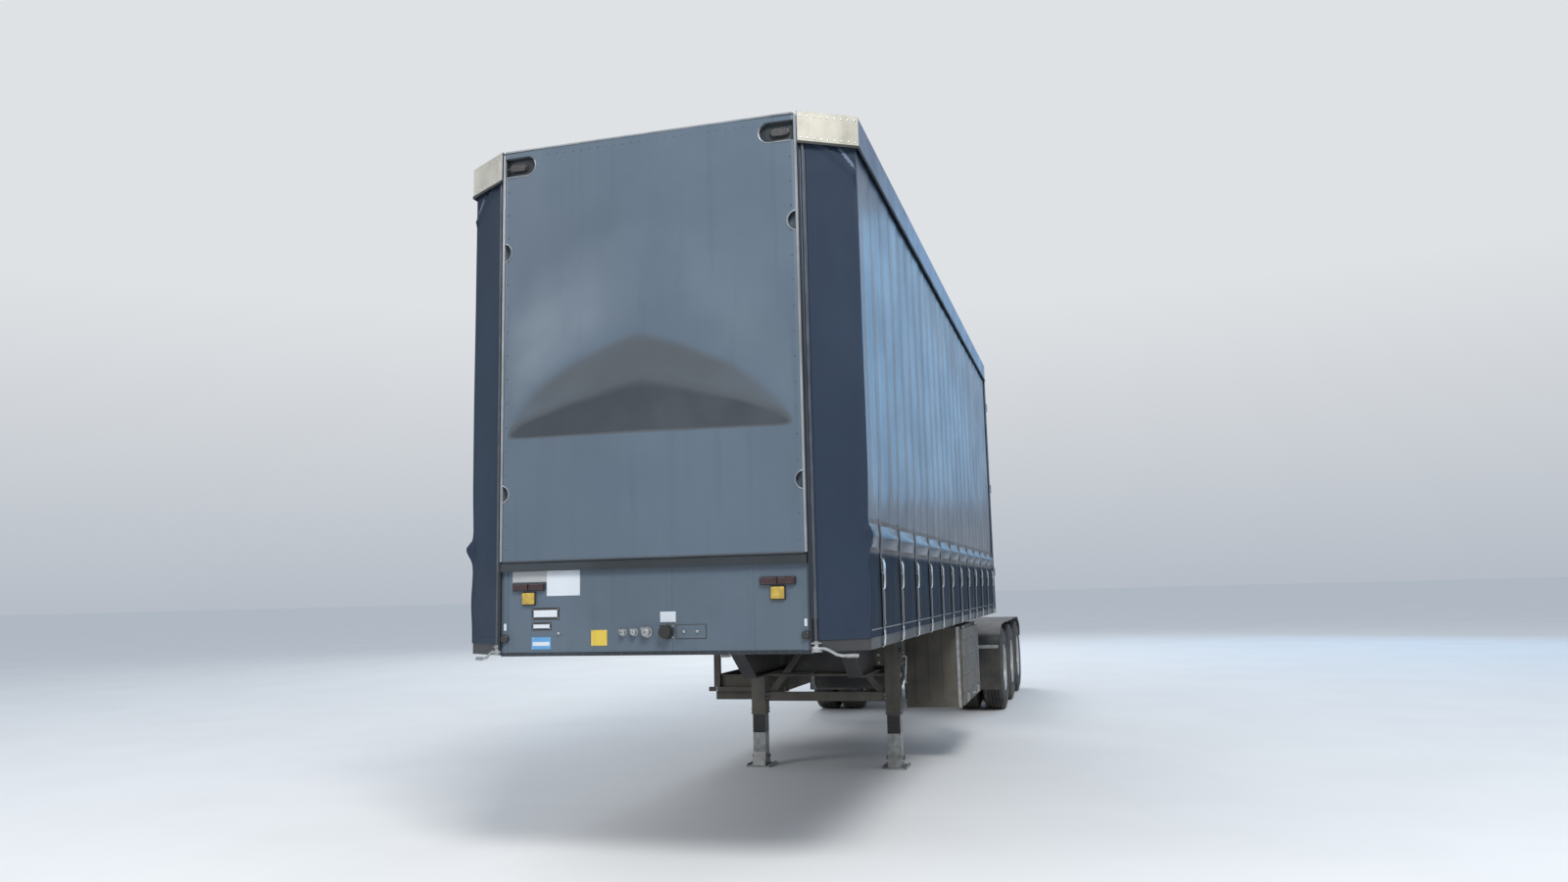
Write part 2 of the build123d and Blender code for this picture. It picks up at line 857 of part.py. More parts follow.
# Main rails: deep I-section with a shallow gooseneck in front and a low tail behind
rail_outline = (
    (st(wall_back), rail_front_bottom + rail_nose_rise),
    (st(plate_front), rail_front_bottom),
    (st(gooseneck_end), rail_front_bottom),
    (st(gooseneck_end + gooseneck_slope), rail_bottom),
    (st(tail_end - tail_beam_depth), rail_bottom),
    (st(tail_end - tail_beam_depth), tail_rail_top),
    (st(tail_step_end), tail_rail_top),
    (st(body_length), sill_low),
    (st(body_end), sill_low),
    (st(body_end), deck_bottom),
    (st(wall_back), deck_bottom),
)
with BuildPart() as chassis_rails:
    for side_name, side in sides:
        with BuildSketch(Plane.YZ.offset(side * rail_centre)):
            Polygon(*rail_outline, align=None)
        extrude(amount=rail_flange_width / 2, both=True)
        for face_x, direction in ((web_outer, 1), (web_inner, -1)):
            with BuildSketch(Plane.YZ.offset(side * face_x)):
                Polygon(*rail_outline, align=None)
                offset(amount=-rail_flange_thickness, kind=Kind.INTERSECTION, mode=Mode.REPLACE)
            extrude(amount=side * direction * rail_flange_width, mode=Mode.SUBTRACT)
finish(chassis_rails.part, "chassis_rails")

# Cross members: an inner piece between the rails and a tapered outrigger on each side,
# and the deep frame plate between the rails at the legs
cross_high = deck_bottom - rail_flange_thickness
cross_tip_x = rail_face - side_rail_sheet
cross_ledge_x = cross_tip_x - side_rail_flange
cross_stations = [cross_first + cross_pitch * index for index in range(cross_count)]
outrigger = (
    (web_outer, cross_bottom),
    (web_outer + outrigger_root, cross_bottom),
    (cross_tip_x, deck_bottom - cross_tip_depth - side_rail_sheet),
    (cross_tip_x, deck_bottom - side_rail_sheet),
    (cross_ledge_x, deck_bottom - side_rail_sheet),
    (cross_ledge_x, deck_bottom),
    (rail_outer, deck_bottom),
    (rail_outer, cross_high),
    (web_outer, cross_high),
)
inner_member = (
    (-web_inner, cross_bottom),
    (web_inner, cross_bottom),
    (web_inner, cross_high),
    (rail_inner, cross_high),
    (rail_inner, deck_bottom),
    (-rail_inner, deck_bottom),
    (-rail_inner, cross_high),
    (-web_inner, cross_high),
)
with BuildPart() as cross_members:
    for station in cross_stations:
        with BuildSketch(Plane.XZ.offset(-st(station))):
            Polygon(*inner_member, align=None)
            for side_name, side in sides:
                Polygon(*mirrored(outrigger, side), align=None)
        extrude(amount=cross_sheet)
        with BuildSketch(Plane.XY.offset(cross_bottom)):
            with Locations((0, st(station - cross_flange / 2))):
                Rectangle(2 * web_inner, cross_flange)
        extrude(amount=cross_sheet)
    with BuildSketch(Plane.XZ.offset(-st(leg_station + frame_plate_setback))):
        with Locations((0, (frame_plate_bottom + cross_bottom) / 2)):
            Rectangle(2 * rail_inner, cross_bottom - frame_plate_bottom)
    extrude(amount=-frame_plate_thickness)
    with BuildSketch(Plane.XY.offset(frame_plate_bottom)):
        with Locations((0, st(leg_station + frame_plate_setback + frame_plate_flange / 2))):
            Rectangle(2 * rail_inner, frame_plate_flange)
    extrude(amount=frame_plate_thickness)
finish(cross_members.part, "cross_members")

# Coupling plate under the gooseneck, its nose bent up along the rails
nose_rise = rail_nose_rise * plate_nose_length / (plate_front - wall_back)
with BuildPart() as coupling_plate:
    with BuildSketch(Plane.YZ):
        Polygon(
            (st(plate_front - plate_nose_length), coupling_height + nose_rise),
            (st(plate_front), coupling_height),
            (st(plate_rear), coupling_height),
            (st(plate_rear), rail_front_bottom),
            (st(plate_front), rail_front_bottom),
            (st(plate_front - plate_nose_length), rail_front_bottom + nose_rise),
            align=None,
        )
    extrude(amount=plate_half_width, both=True)
    with BuildSketch(Plane.XY.offset(coupling_height)):
        with Locations((0, st(kingpin_station))):
            Circle(pin_shoulder_radius + pin_hole_gap)
    extrude(amount=plate_thickness, mode=Mode.SUBTRACT)
finish(coupling_plate.part, "coupling_plate")

# Kingpin: flange on the plate, shoulder, neck and collar below it
collar_top = coupling_height - pin_shoulder_length - pin_neck_length
collar_bottom = collar_top - pin_collar_length
pin_axis = Axis((0, st(kingpin_station), 0), (0, 0, 1))
with BuildPart() as kingpin:
    with BuildSketch(Plane.XZ.offset(-st(kingpin_station))):
        Polygon(
            (0, collar_bottom),
            (pin_collar_radius, collar_bottom),
            (pin_collar_radius, collar_top),
            (pin_neck_radius, collar_top),
            (pin_neck_radius, coupling_height - pin_shoulder_length),
            (pin_shoulder_radius, coupling_height - pin_shoulder_length),
            (pin_shoulder_radius, rail_front_bottom),
            (0, rail_front_bottom),
            align=None,
        )
    revolve(axis=pin_axis)
    with BuildSketch(Plane.XY.offset(rail_front_bottom)):
        with Locations((0, st(kingpin_station))):
            RegularPolygon(pin_flange_radius, pin_sides)
    extrude(amount=pin_flange_thickness)
finish(kingpin.part, "kingpin")

# Landing legs: square outer tubes, bracketed to the rails' webs
bracket_low = rail_bottom + rail_flange_thickness + leg_bracket_low
bracket_high = leg_top - leg_bracket_drop
with BuildPart() as landing_legs:
    for side_name, side in sides:
        with BuildSketch(Plane.XY.offset(leg_tube_bottom)):
            with Locations((side * leg_centre, st(leg_station))):
                Rectangle(leg_size, leg_size)
        extrude(amount=leg_top - leg_tube_bottom)
        with BuildSketch(Plane.XY.offset(leg_tube_bottom)):
            with Locations((side * leg_centre, st(leg_station))):
                Rectangle(leg_size - 2 * leg_wall, leg_size - 2 * leg_wall)
        extrude(amount=leg_inner_top + leg_bore_room - leg_tube_bottom, mode=Mode.SUBTRACT)
        bracket_reach = leg_centre - leg_size / 2 - web_outer
        with BuildSketch(Plane.XY.offset(bracket_low)):
            for shift in (-leg_bracket_half, leg_bracket_half):
                bracket_x = side * (web_outer + bracket_reach / 2)
                with Locations((bracket_x, st(leg_station + shift))):
                    Rectangle(bracket_reach, leg_bracket_sheet)
        extrude(amount=bracket_high - bracket_low)
finish(landing_legs.part, "landing_legs")

# Inner leg tubes with their feet
inner_size = leg_size - 2 * leg_wall - 2 * seat_gap
with BuildPart() as landing_feet:
    for side_name, side in sides:
        foot_centre = (side * leg_centre, st(leg_station))
        with BuildSketch():
            with Locations(foot_centre):
                Rectangle(foot_length, foot_width)
        extrude(amount=foot_plate)
        with BuildSketch(Plane.YZ.offset(side * leg_centre)):
            Polygon(
                (st(leg_station - foot_gusset_half), foot_plate),
                (st(leg_station + foot_gusset_half), foot_plate),
                (st(leg_station + inner_size / 2), foot_height),
                (st(leg_station - inner_size / 2), foot_height),
                align=None,
            )
        extrude(amount=inner_size / 2, both=True)
        with BuildSketch(Plane.XY.offset(foot_height)):
            with Locations(foot_centre):
                Rectangle(inner_size, inner_size)
        extrude(amount=leg_inner_top - foot_height)
finish(landing_feet.part, "landing_feet")

# Leg bracing: crossbar, two slanting strips and the cross shaft
brace_apex = cross_bottom
brace_foot = leg_centre - leg_size / 2
with BuildPart() as landing_braces:
    with BuildSketch(Plane.YZ):
        with Locations((st(leg_station), brace_bar_low + brace_bar_height / 2)):
            Rectangle(brace_bar_depth, brace_bar_height)
    extrude(amount=brace_foot, both=True)
    with BuildSketch(Plane.XZ.offset(-st(leg_station + brace_setback))):
        for side_name, side in sides:
            strip = (
                (0, brace_apex),
                (brace_apex_half, brace_apex),
                (brace_foot, brace_bar_low + brace_bar_height - brace_foot_high),
                (brace_foot, brace_bar_low + brace_foot_low),
                (brace_foot - brace_foot_run, brace_bar_low + brace_foot_low),
                (0, brace_apex - brace_apex_half),
            )
            Polygon(*mirrored(strip, side), align=None)
    extrude(amount=-brace_strip_thickness)
    with BuildSketch(Plane.YZ):
        with Locations((st(leg_station), leg_shaft_height)):
            RegularPolygon(leg_shaft_radius, pin_sides)
    extrude(amount=brace_foot, both=True)
finish(landing_braces.part, "landing_braces")

# Crank that winds the legs
crank_start = leg_centre + leg_size / 2
with BuildPart() as leg_crank:
    with BuildSketch(Plane.XZ.offset(-st(leg_station))):
        Polygon(
            (crank_start, crank_height + crank_radius),
            (crank_start + crank_reach, crank_height + crank_radius),
            (crank_start + crank_reach - crank_bend, crank_height - crank_drop),
            (crank_start + crank_reach, crank_height - crank_drop - crank_handle),
            (crank_start + crank_reach - 2 * crank_radius, crank_height - crank_drop - crank_handle),
            (crank_start + crank_reach - crank_bend - 2 * crank_radius, crank_height - crank_drop),
            (crank_start + crank_reach - 2 * crank_radius, crank_height - crank_radius),
            (crank_start, crank_height - crank_radius),
            align=None,
        )
    extrude(amount=crank_radius, both=True)
finish(leg_crank.part, "leg_crank")

# Tool box: sheet shell, open on its outer side, with hangers up to the outriggers
box_rear = box_front + box_length
lid_inner_x = box_outer + swing_gap
lid_axis_x = lid_inner_x + lid_thickness / 2
lid_knuckle_starts = (box_front + lid_knuckle_inset, box_rear - lid_knuckle_inset)
box_hanger_top = deck_bottom - side_rail_sheet - box_hanger_drop
box_hanger_stations = [s for s in cross_stations if box_front < s - cross_flange < box_rear]
with BuildPart() as tool_box:
    with BuildSketch(Plane.YZ.offset(box_inner)):
        Polygon(
            (st(box_front), box_bottom),
            (st(box_rear), box_bottom),
            (st(box_rear), box_top),
            (st(box_front), box_top),
            align=None,
        )
    extrude(amount=box_outer - box_inner)
    with BuildSketch(Plane.YZ.offset(box_inner + box_sheet)):
        Polygon(
            (st(box_front + box_sheet), box_bottom + box_sheet),
            (st(box_rear - box_sheet), box_bottom + box_sheet),
            (st(box_rear - box_sheet), box_top - box_sheet),
            (st(box_front + box_sheet), box_top - box_sheet),
            align=None,
        )
    extrude(amount=box_outer - box_inner - 2 * box_sheet, mode=Mode.SUBTRACT)
    with BuildSketch(Plane.YZ.offset(box_outer - box_sheet)):
        Polygon(
            (st(box_front + box_frame), box_bottom + box_frame),
            (st(box_rear - box_frame), box_bottom + box_frame),
            (st(box_rear - box_frame), box_top - box_frame),
            (st(box_front + box_frame), box_top - box_frame),
            align=None,
        )
    extrude(amount=box_sheet, mode=Mode.SUBTRACT)
    for start in lid_knuckle_starts:
        with BuildSketch(Plane.XZ.offset(-st(start + seat_gap))):
            with Locations((lid_axis_x, lid_hinge_height)):
                RegularPolygon(lid_knuckle_radius, pin_sides)
            Polygon(
                (box_outer, lid_hinge_height - lid_plate_width / 2),
                (lid_axis_x, lid_hinge_height - lid_plate_width / 2),
                (lid_axis_x, lid_hinge_height + lid_plate_width / 2),
                (box_outer, lid_hinge_height + lid_plate_width / 2),
                align=None,
            )
            with Locations((lid_axis_x, lid_hinge_height)):
                RegularPolygon(
                    lid_pin_radius + pin_gap, pin_sides, major_radius=False, mode=Mode.SUBTRACT
                )
        extrude(amount=-(lid_knuckle_length - 2 * seat_gap))
    for station in box_hanger_stations:
        with BuildSketch(Plane.XZ.offset(-st(station))):
            Polygon(
                (box_inner + box_hanger_inset, box_top),
                (box_inner + box_hanger_inset + box_hanger_width, box_top),
                (box_inner + box_hanger_inset + box_hanger_width, box_hanger_top),
                (box_inner + box_hanger_inset, box_hanger_top),
                align=None,
            )
        extrude(amount=-box_hanger_sheet)
finish(tool_box.part, "tool_box")

# Tool box lid, hinged along its top edge
lid_low = box_bottom + lid_overlap
with BuildPart() as tool_box_lid:
    with BuildSketch(Plane.YZ.offset(lid_inner_x)):
        Polygon(
            (st(box_front + lid_overlap), lid_low),
            (st(box_rear - lid_overlap), lid_low),
            (st(box_rear - lid_overlap), lid_hinge_height - lid_relief),
            (st(box_front + lid_overlap), lid_hinge_height - lid_relief),
            align=None,
        )
    extrude(amount=lid_thickness)
    for start in lid_knuckle_starts:
        with BuildSketch(Plane.XZ.offset(-st(start + lid_knuckle_length))):
            with Locations((lid_axis_x, lid_hinge_height)):
                Circle(lid_pin_radius)
        extrude(amount=2 * lid_knuckle_length)
        with BuildSketch(Plane.XZ.offset(-st(start))):
            with Locations((lid_axis_x, lid_hinge_height)):
                RegularPolygon(lid_knuckle_radius, pin_sides)
            plate_drop = lid_relief + lid_plate_lap
            with Locations((lid_axis_x, lid_hinge_height - plate_drop / 2)):
                Rectangle(lid_plate_width, plate_drop)
        extrude(amount=lid_knuckle_length)
finish(tool_box_lid.part, "tool_box_lid")

# Wheels: tyre pairs, and rims with their shared hub and drum
axle_names = ("front", "middle", "rear")
barrel_radius = bead_radius - seat_gap
barrel_end = outer_tyre_centre + rim_half_width
wheel_blocks = (
    # from, to, radius, sides, mode
    (drum_inner, barrel_end, barrel_radius, barrel_sides, Mode.ADD),
    (disc_face, barrel_end, dish_radius, barrel_sides, Mode.SUBTRACT),
    (disc_face, hub_end, hub_radius, ring_sides, Mode.ADD),
)
tyre_turn = 180 / tyre_sides
for axle_name, station in zip(axle_names, axle_stations):
    for side_name, side in sides:
        with BuildPart() as tyres:
            with BuildSketch(Plane.YZ.offset(side * outer_tyre_centre)):
                with Locations((st(station), axle_height)):
                    RegularPolygon(tyre_radius, tyre_sides, major_radius=False, rotation=tyre_turn)
            extrude(amount=tyre_half_width, both=True)
            chamfer(tyres.edges().filter_by(Axis.X, reverse=True), tyre_shoulder)
            with BuildSketch(Plane.YZ.offset(side * inner_tyre_centre)):
                with Locations((st(station), axle_height)):
                    RegularPolygon(tyre_radius, tyre_sides, major_radius=False, rotation=tyre_turn)
            extrude(amount=tyre_half_width, both=True)
            with BuildSketch(Plane.YZ.offset(side * drum_inner)):
                with Locations((st(station), axle_height)):
                    RegularPolygon(bead_radius, barrel_sides)
            extrude(amount=side * (barrel_end + rim_half_width - drum_inner), mode=Mode.SUBTRACT)
        finish(tyres.part, f"tyres_{axle_name}_{side_name}")
        with BuildPart() as rims:
            for start, end, radius, side_count, mode in wheel_blocks:
                with BuildSketch(Plane.YZ.offset(side * start)):
                    with Locations((st(station), axle_height)):
                        RegularPolygon(radius, side_count)
                extrude(amount=side * (end - start), mode=mode)
        finish(rims.part, f"rims_{axle_name}_{side_name}")

# Axle beams, square tube from drum to drum
with BuildPart() as axles:
    for station in axle_stations:
        with BuildSketch(Plane.YZ):
            with Locations((st(station), axle_height)):
                Rectangle(axle_size, axle_size)
        extrude(amount=drum_inner - seat_gap, both=True)
finish(axles.part, "axles")

# Suspension hangers under the rails
with BuildPart() as suspension_hangers:
    for station in axle_stations:
        for side_name, side in sides:
            pivot_y = st(station - hanger_lead)
            cheek_x = arm_width / 2 + seat_gap
            for cheek in (-1, 1):
                cheek_face = side * rail_centre + cheek * cheek_x
                with BuildSketch(Plane.YZ.offset(cheek_face)):
                    Polygon(
                        (pivot_y - hanger_length / 2, rail_bottom),
                        (pivot_y - hanger_length / 2, pivot_height + hanger_waist),
                        (pivot_y - hanger_tip_half, hanger_low),
                        (pivot_y + hanger_tip_half, hanger_low),
                        (pivot_y + hanger_length / 2, pivot_height + hanger_waist),
                        (pivot_y + hanger_length / 2, rail_bottom),
                        align=None,
                    )
                extrude(amount=cheek * hanger_sheet)
            with BuildSketch(Plane.XY.offset(rail_bottom)):
                with Locations((side * rail_centre, pivot_y)):
                    Rectangle(2 * cheek_x, hanger_length)
            extrude(amount=-hanger_sheet)
finish(suspension_hangers.part, "suspension_hangers")

# Trailing arms over the axles, with the seats for the air springs
arm_low = axle_height + axle_size / 2 + seat_gap
with BuildPart() as trailing_arms:
    for station in axle_stations:
        for side_name, side in sides:
            pivot_y = st(station - hanger_lead)
            seat_front = st(station + spring_lag - spring_seat_front)
            seat_rear = st(station + spring_lag + spring_seat_rear)
            with BuildSketch(Plane.YZ.offset(side * rail_centre)):
                Polygon(
                    (pivot_y - arm_eye_radius, pivot_height),
                    (pivot_y, pivot_height - arm_eye_radius),
                    (st(station - arm_saddle_half), arm_low),
                    (st(station + arm_saddle_half), arm_low),
                    (seat_front, spring_seat - spring_seat_depth),
                    (seat_rear, spring_seat - spring_seat_depth),
                    (seat_rear, spring_seat),
                    (seat_front, spring_seat),
                    (st(station + arm_shoulder), arm_low + arm_depth),
                    (pivot_y, pivot_height + arm_eye_radius),
                    align=None,
                )
            extrude(amount=arm_width / 2, both=True)
finish(trailing_arms.part, "trailing_arms")

# Air springs between the arms and the rails: a piston and a bellows each
bellows_low = spring_seat + spring_piston_height
spring_blocks = (
    # low, high, radius
    (spring_seat, bellows_low, spring_piston_radius),
    (bellows_low, rail_bottom, spring_radius),
)
with BuildPart() as air_springs:
    for low, high, radius in spring_blocks:
        with BuildSketch(Plane.XY.offset(low)):
            for station in axle_stations:
                for side_name, side in sides:
                    with Locations((side * rail_centre, st(station + spring_lag))):
                        RegularPolygon(radius, ring_sides)
        extrude(amount=high - low)
finish(air_springs.part, "air_springs")

# Brake chambers on brackets behind the axle beams
with BuildPart() as brake_chambers:
    for station in axle_stations:
        for side_name, side in sides:
            bracket_y = st(station + axle_size / 2 + seat_gap)
            chamber_y = bracket_y + chamber_bracket
            with BuildSketch(Plane.XZ.offset(-chamber_y)):
                with Locations((side * chamber_offset, axle_height + chamber_lift)):
                    RegularPolygon(chamber_radius, pin_sides)
            extrude(amount=-chamber_length)
            with BuildSketch(Plane.XZ.offset(-bracket_y)):
                with Locations((side * chamber_offset, axle_height)):
                    Rectangle(chamber_bracket, chamber_bracket)
            extrude(amount=-chamber_bracket)
finish(brake_chambers.part, "brake_chambers")

# Mudguards over each row of wheels, on stays across the rails
guard_path = (
    (st(guard_front), guard_low),
    (st(guard_front), guard_top - guard_drop),
    (st(guard_front + guard_slope), guard_top),
    (st(guard_rear - guard_slope), guard_top),
    (st(guard_rear), guard_top - guard_drop),
    (st(guard_rear), guard_low),
)
stay_top = guard_top - guard_sheet
with BuildPart() as mudguards:
    for side_name, side in sides:
        with BuildSketch(Plane.YZ.offset(side * guard_inner)):
            with BuildLine():
                guard_line = Polyline(*guard_path)
                offset(guard_line, amount=guard_sheet, side=Side.RIGHT)
            make_face()
        extrude(amount=side * (guard_outer - guard_inner))
finish(mudguards.part, "mudguards")

with BuildPart() as guard_stays:
    with BuildSketch(Plane.XY.offset(tail_rail_top)):
        for station in stay_stations:
            for side_name, side in sides:
                with Locations((side * (rail_inner + stay_end) / 2, st(station))):
                    Rectangle(stay_end - rail_inner, stay_width)
    extrude(amount=stay_top - tail_rail_top)
finish(guard_stays.part, "guard_stays")

# Mudflaps hung on the ends of the mudguards
with BuildPart() as mudflaps:
    for side_name, side in sides:
        for flap_y in (guard_front - flap_thickness, guard_rear):
            with BuildSketch(Plane.XY.offset(flap_bottom)):
                flap_x = side * (guard_inner + guard_outer) / 2
                with Locations((flap_x, st(flap_y + flap_thickness / 2))):
                    Rectangle(guard_outer - guard_inner - 2 * flap_margin, flap_thickness)
            extrude(amount=guard_low + flap_lap - flap_bottom)
finish(mudflaps.part, "mudflaps")

# Turntable base: plate on the rails, ears for the pivots, and behind it the ramps that
# guide the next trailer up
beam_end = turntable_half_width - turntable_rim - turntable_beam_inset
ear_inner = beam_end + turntable_ear_gap
turntable_y = st(turntable_station)
with BuildPart() as turntable_base:
    with BuildSketch(Plane.XY.offset(tail_rail_top)):
        with Locations((0, turntable_y)):
            Rectangle(2 * rail_outer, 2 * base_half_length)
    extrude(amount=base_thickness)
    for side_name, side in sides:
        with BuildSketch(Plane.YZ.offset(side * ear_inner)):
            Polygon(
                (turntable_y - ear_foot, tail_rail_top + base_thickness),
                (turntable_y + ear_foot, tail_rail_top + base_thickness),
                (turntable_y + ear_radius, turntable_pivot_height),
                (turntable_y + ear_radius / 2, turntable_pivot_height + ear_radius),
                (turntable_y - ear_radius / 2, turntable_pivot_height + ear_radius),
                (turntable_y - ear_radius, turntable_pivot_height),
                align=None,
            )
            with Locations((turntable_y, turntable_pivot_height)):
                RegularPolygon(
                    turntable_pin_radius + pin_gap,
                    ring_sides,
                    major_radius=False,
                    mode=Mode.SUBTRACT,
                )
        extrude(amount=side * turntable_ear)
    for side_name, side in sides:
        with BuildSketch(Plane.YZ.offset(side * rail_inner)):
            Polygon(
                (st(ramp_front), tail_rail_top),
                (st(ramp_rear), tail_rail_top),
                (st(ramp_rear), tail_rail_top + ramp_lip),
                (st(ramp_front + ramp_flat), tail_rail_top + ramp_height),
                (st(ramp_front), tail_rail_top + ramp_height),
                align=None,
            )
        extrude(amount=-side * ramp_width)
finish(turntable_base.part, "turntable_base")

# Turntable top plate with its rearward throat and closed jaws
plate_low = coupling_height - turntable_depth
jaw_top = coupling_height - pin_shoulder_length - jaw_drop
with BuildPart() as turntable_plate:
    with BuildSketch(Plane.XY.offset(coupling_height)) as plate_sketch:
        with Locations((0, turntable_y)):
            RegularPolygon(turntable_radius, 2 * ring_sides)
            Rectangle(2 * turntable_half_width, 2 * turntable_radius, mode=Mode.INTERSECT)
        Polygon(
            (-throat_half, turntable_y + throat_start),
            (throat_half, turntable_y + throat_start),
            (throat_mouth, turntable_y + turntable_radius + swing_gap),
            (-throat_mouth, turntable_y + turntable_radius + swing_gap),
            align=None,
            mode=Mode.SUBTRACT,
        )
    extrude(amount=-turntable_depth)
    with BuildSketch(Plane.XY.offset(plate_low)):
        add(plate_sketch.sketch)
        offset(amount=-turntable_rim, mode=Mode.REPLACE, kind=Kind.INTERSECTION)
    extrude(amount=turntable_depth - turntable_skin, mode=Mode.SUBTRACT)
    with BuildSketch(Plane.YZ):
        Polygon(
            (turntable_y - turntable_beam_half, turntable_pivot_height),
            (turntable_y - turntable_beam_half / 2, turntable_pivot_height - turntable_beam_half),
            (turntable_y + turntable_beam_half / 2, turntable_pivot_height - turntable_beam_half),
            (turntable_y + turntable_beam_half, turntable_pivot_height),
            (turntable_y + turntable_beam_half, coupling_height - turntable_skin / 2),
            (turntable_y - turntable_beam_half, coupling_height - turntable_skin / 2),
            align=None,
        )
    extrude(amount=beam_end, both=True)
    with BuildSketch(Plane.YZ):
        with Locations((turntable_y, turntable_pivot_height)):
            Circle(turntable_pin_radius)
    extrude(amount=ear_inner + turntable_ear, both=True)
    with BuildSketch(Plane.XY.offset(coupling_height)):
        with Locations((0, turntable_y)):
            RegularPolygon(pin_shoulder_radius + pin_play, ring_sides, major_radius=False)
    extrude(amount=-(coupling_height - jaw_top), mode=Mode.SUBTRACT)
    with BuildSketch(Plane.XY.offset(jaw_top)):
        with Locations((0, turntable_y)):
            Circle(throat_radius)
    extrude(amount=-jaw_thickness, mode=Mode.SUBTRACT)
    with BuildSketch(Plane.XY.offset(jaw_top - jaw_thickness)):
        with Locations((0, turntable_y)):
            RegularPolygon(pin_collar_radius + pin_play, ring_sides, major_radius=False)
    extrude(amount=-turntable_depth * 2, mode=Mode.SUBTRACT)
finish(turntable_plate.part, "turntable_plate")

# Rear frame: posts, header, sill and the hinge lugs
frame_front = st(body_end)
frame_back = st(body_length)
hinge_y = st(body_length + swing_gap + door_thickness + hinge_proud)
with BuildPart() as rear_frame:
    for side_name, side in sides:
        with BuildSketch(Plane.XY.offset(side_rail_bottom)):
            post_x = side * (rear_post_inner + rear_post_outer) / 2
            with Locations((post_x, (frame_front + frame_back) / 2)):
                Rectangle(rear_post_outer - rear_post_inner, rear_post_depth)
        extrude(amount=roof_top - side_rail_bottom)
        for level in hinge_levels:
            with BuildSketch(Plane.XY.offset(level - hinge_half_height)):
                lug = (
                    (hinge_x - hinge_radius, frame_back),
                    (rear_post_outer, frame_back),
                    (hinge_x + hinge_radius, hinge_y - hinge_radius / 2),
                    (hinge_x + hinge_radius, hinge_y + hinge_radius / 2),
                    (hinge_x + hinge_radius / 2, hinge_y + hinge_radius),
                    (hinge_x - hinge_radius / 2, hinge_y + hinge_radius),
                    (hinge_x - hinge_radius, hinge_y + hinge_radius / 2),
                )
                Polygon(*mirrored(lug, side), align=None)
                with Locations((side * hinge_x, hinge_y)):
                    RegularPolygon(
                        hinge_pin_radius + pin_gap,
                        pin_sides,
                        major_radius=False,
                        mode=Mode.SUBTRACT,
                    )
            extrude(amount=hinge_half_height - seat_gap)
    with BuildSketch(Plane.XZ.offset(-frame_front)):
        with Locations((0, (door_head + roof_top) / 2)):
            Rectangle(2 * rear_post_inner, roof_top - door_head)
        with Locations((0, (sill_low + deck_top) / 2)):
            Rectangle(2 * rear_post_inner, sill_height)
    extrude(amount=-rear_post_depth)
finish(rear_frame.part, "rear_frame")

# Rear doors with hinge blades, whose pins drop into the frame's lugs
door_inner_face = st(body_length + swing_gap)
door_outer_face = door_inner_face + door_thickness
door_low = deck_top + door_bottom_gap
door_top = door_head + door_head_lap
lock_low = door_low - lock_overrun
for side_name, side in sides:
    with BuildPart() as door:
        with BuildSketch(Plane.XY.offset(door_low)):
            leaf = (
                (door_middle_gap / 2, door_inner_face),
                (door_edge, door_inner_face),
                (door_edge, door_outer_face),
                (door_middle_gap / 2, door_outer_face),
            )
            Polygon(*mirrored(leaf, side), align=None)
        extrude(amount=door_top - door_low)
        for level in hinge_levels:
            with BuildSketch(Plane.XY.offset(level)):
                blade = (
                    (door_edge - hinge_blade_length, door_outer_face),
                    (door_edge - hinge_blade_toe, door_outer_face),
                    (hinge_x - hinge_radius / 2, hinge_y - hinge_radius),
                    (hinge_x + hinge_radius / 2, hinge_y - hinge_radius),
                    (hinge_x + hinge_radius, hinge_y),
                    (hinge_x + hinge_radius / 2, hinge_y + hinge_radius),
                    (hinge_x - hinge_radius / 2, hinge_y + hinge_radius),
                    (door_edge - hinge_blade_heel, door_outer_face + hinge_blade_thickness),
                    (door_edge - hinge_blade_length, door_outer_face + hinge_blade_thickness),
                )
                Polygon(*mirrored(blade, side), align=None)
            extrude(amount=hinge_half_height)
            with BuildSketch(Plane.XY.offset(level)):
                with Locations((side * hinge_x, hinge_y)):
                    Circle(hinge_pin_radius)
            extrude(amount=-hinge_half_height)
    finish(door.part, f"door_{side_name}")
    with BuildPart() as lock:
        lock_y = door_outer_face + lock_gap + lock_radius
        lock_x = side * lock_offset
        with BuildSketch(Plane.XY.offset(lock_low)):
            with Locations((lock_x, lock_y)):
                RegularPolygon(lock_radius, pin_sides)
        extrude(amount=door_top - lock_low)
        for level in lock_guide_levels:
            with BuildSketch(Plane.XY.offset(level)):
                with Locations((lock_x, (door_outer_face + lock_y + lock_radius) / 2)):
                    Rectangle(lock_guide_size, lock_y + lock_radius - door_outer_face)
            extrude(amount=lock_guide_size)
        with BuildSketch(Plane.XZ.offset(-(door_outer_face + lock_gap))):
            with Locations((lock_x + side * handle_length / 2, handle_level)):
                Rectangle(handle_length, handle_height)
        extrude(amount=-handle_thickness)
    finish(lock.part, f"door_lock_{side_name}")

# Tail beam across the rails' ends
with BuildPart() as tail_beam:
    with BuildSketch(Plane.YZ):
        with Locations((st(tail_end - tail_beam_depth / 2), (tail_beam_low + tail_rail_top) / 2)):
            Rectangle(tail_beam_depth, tail_rail_top - tail_beam_low)
    extrude(amount=rail_outer, both=True)
finish(tail_beam.part, "tail_beam")

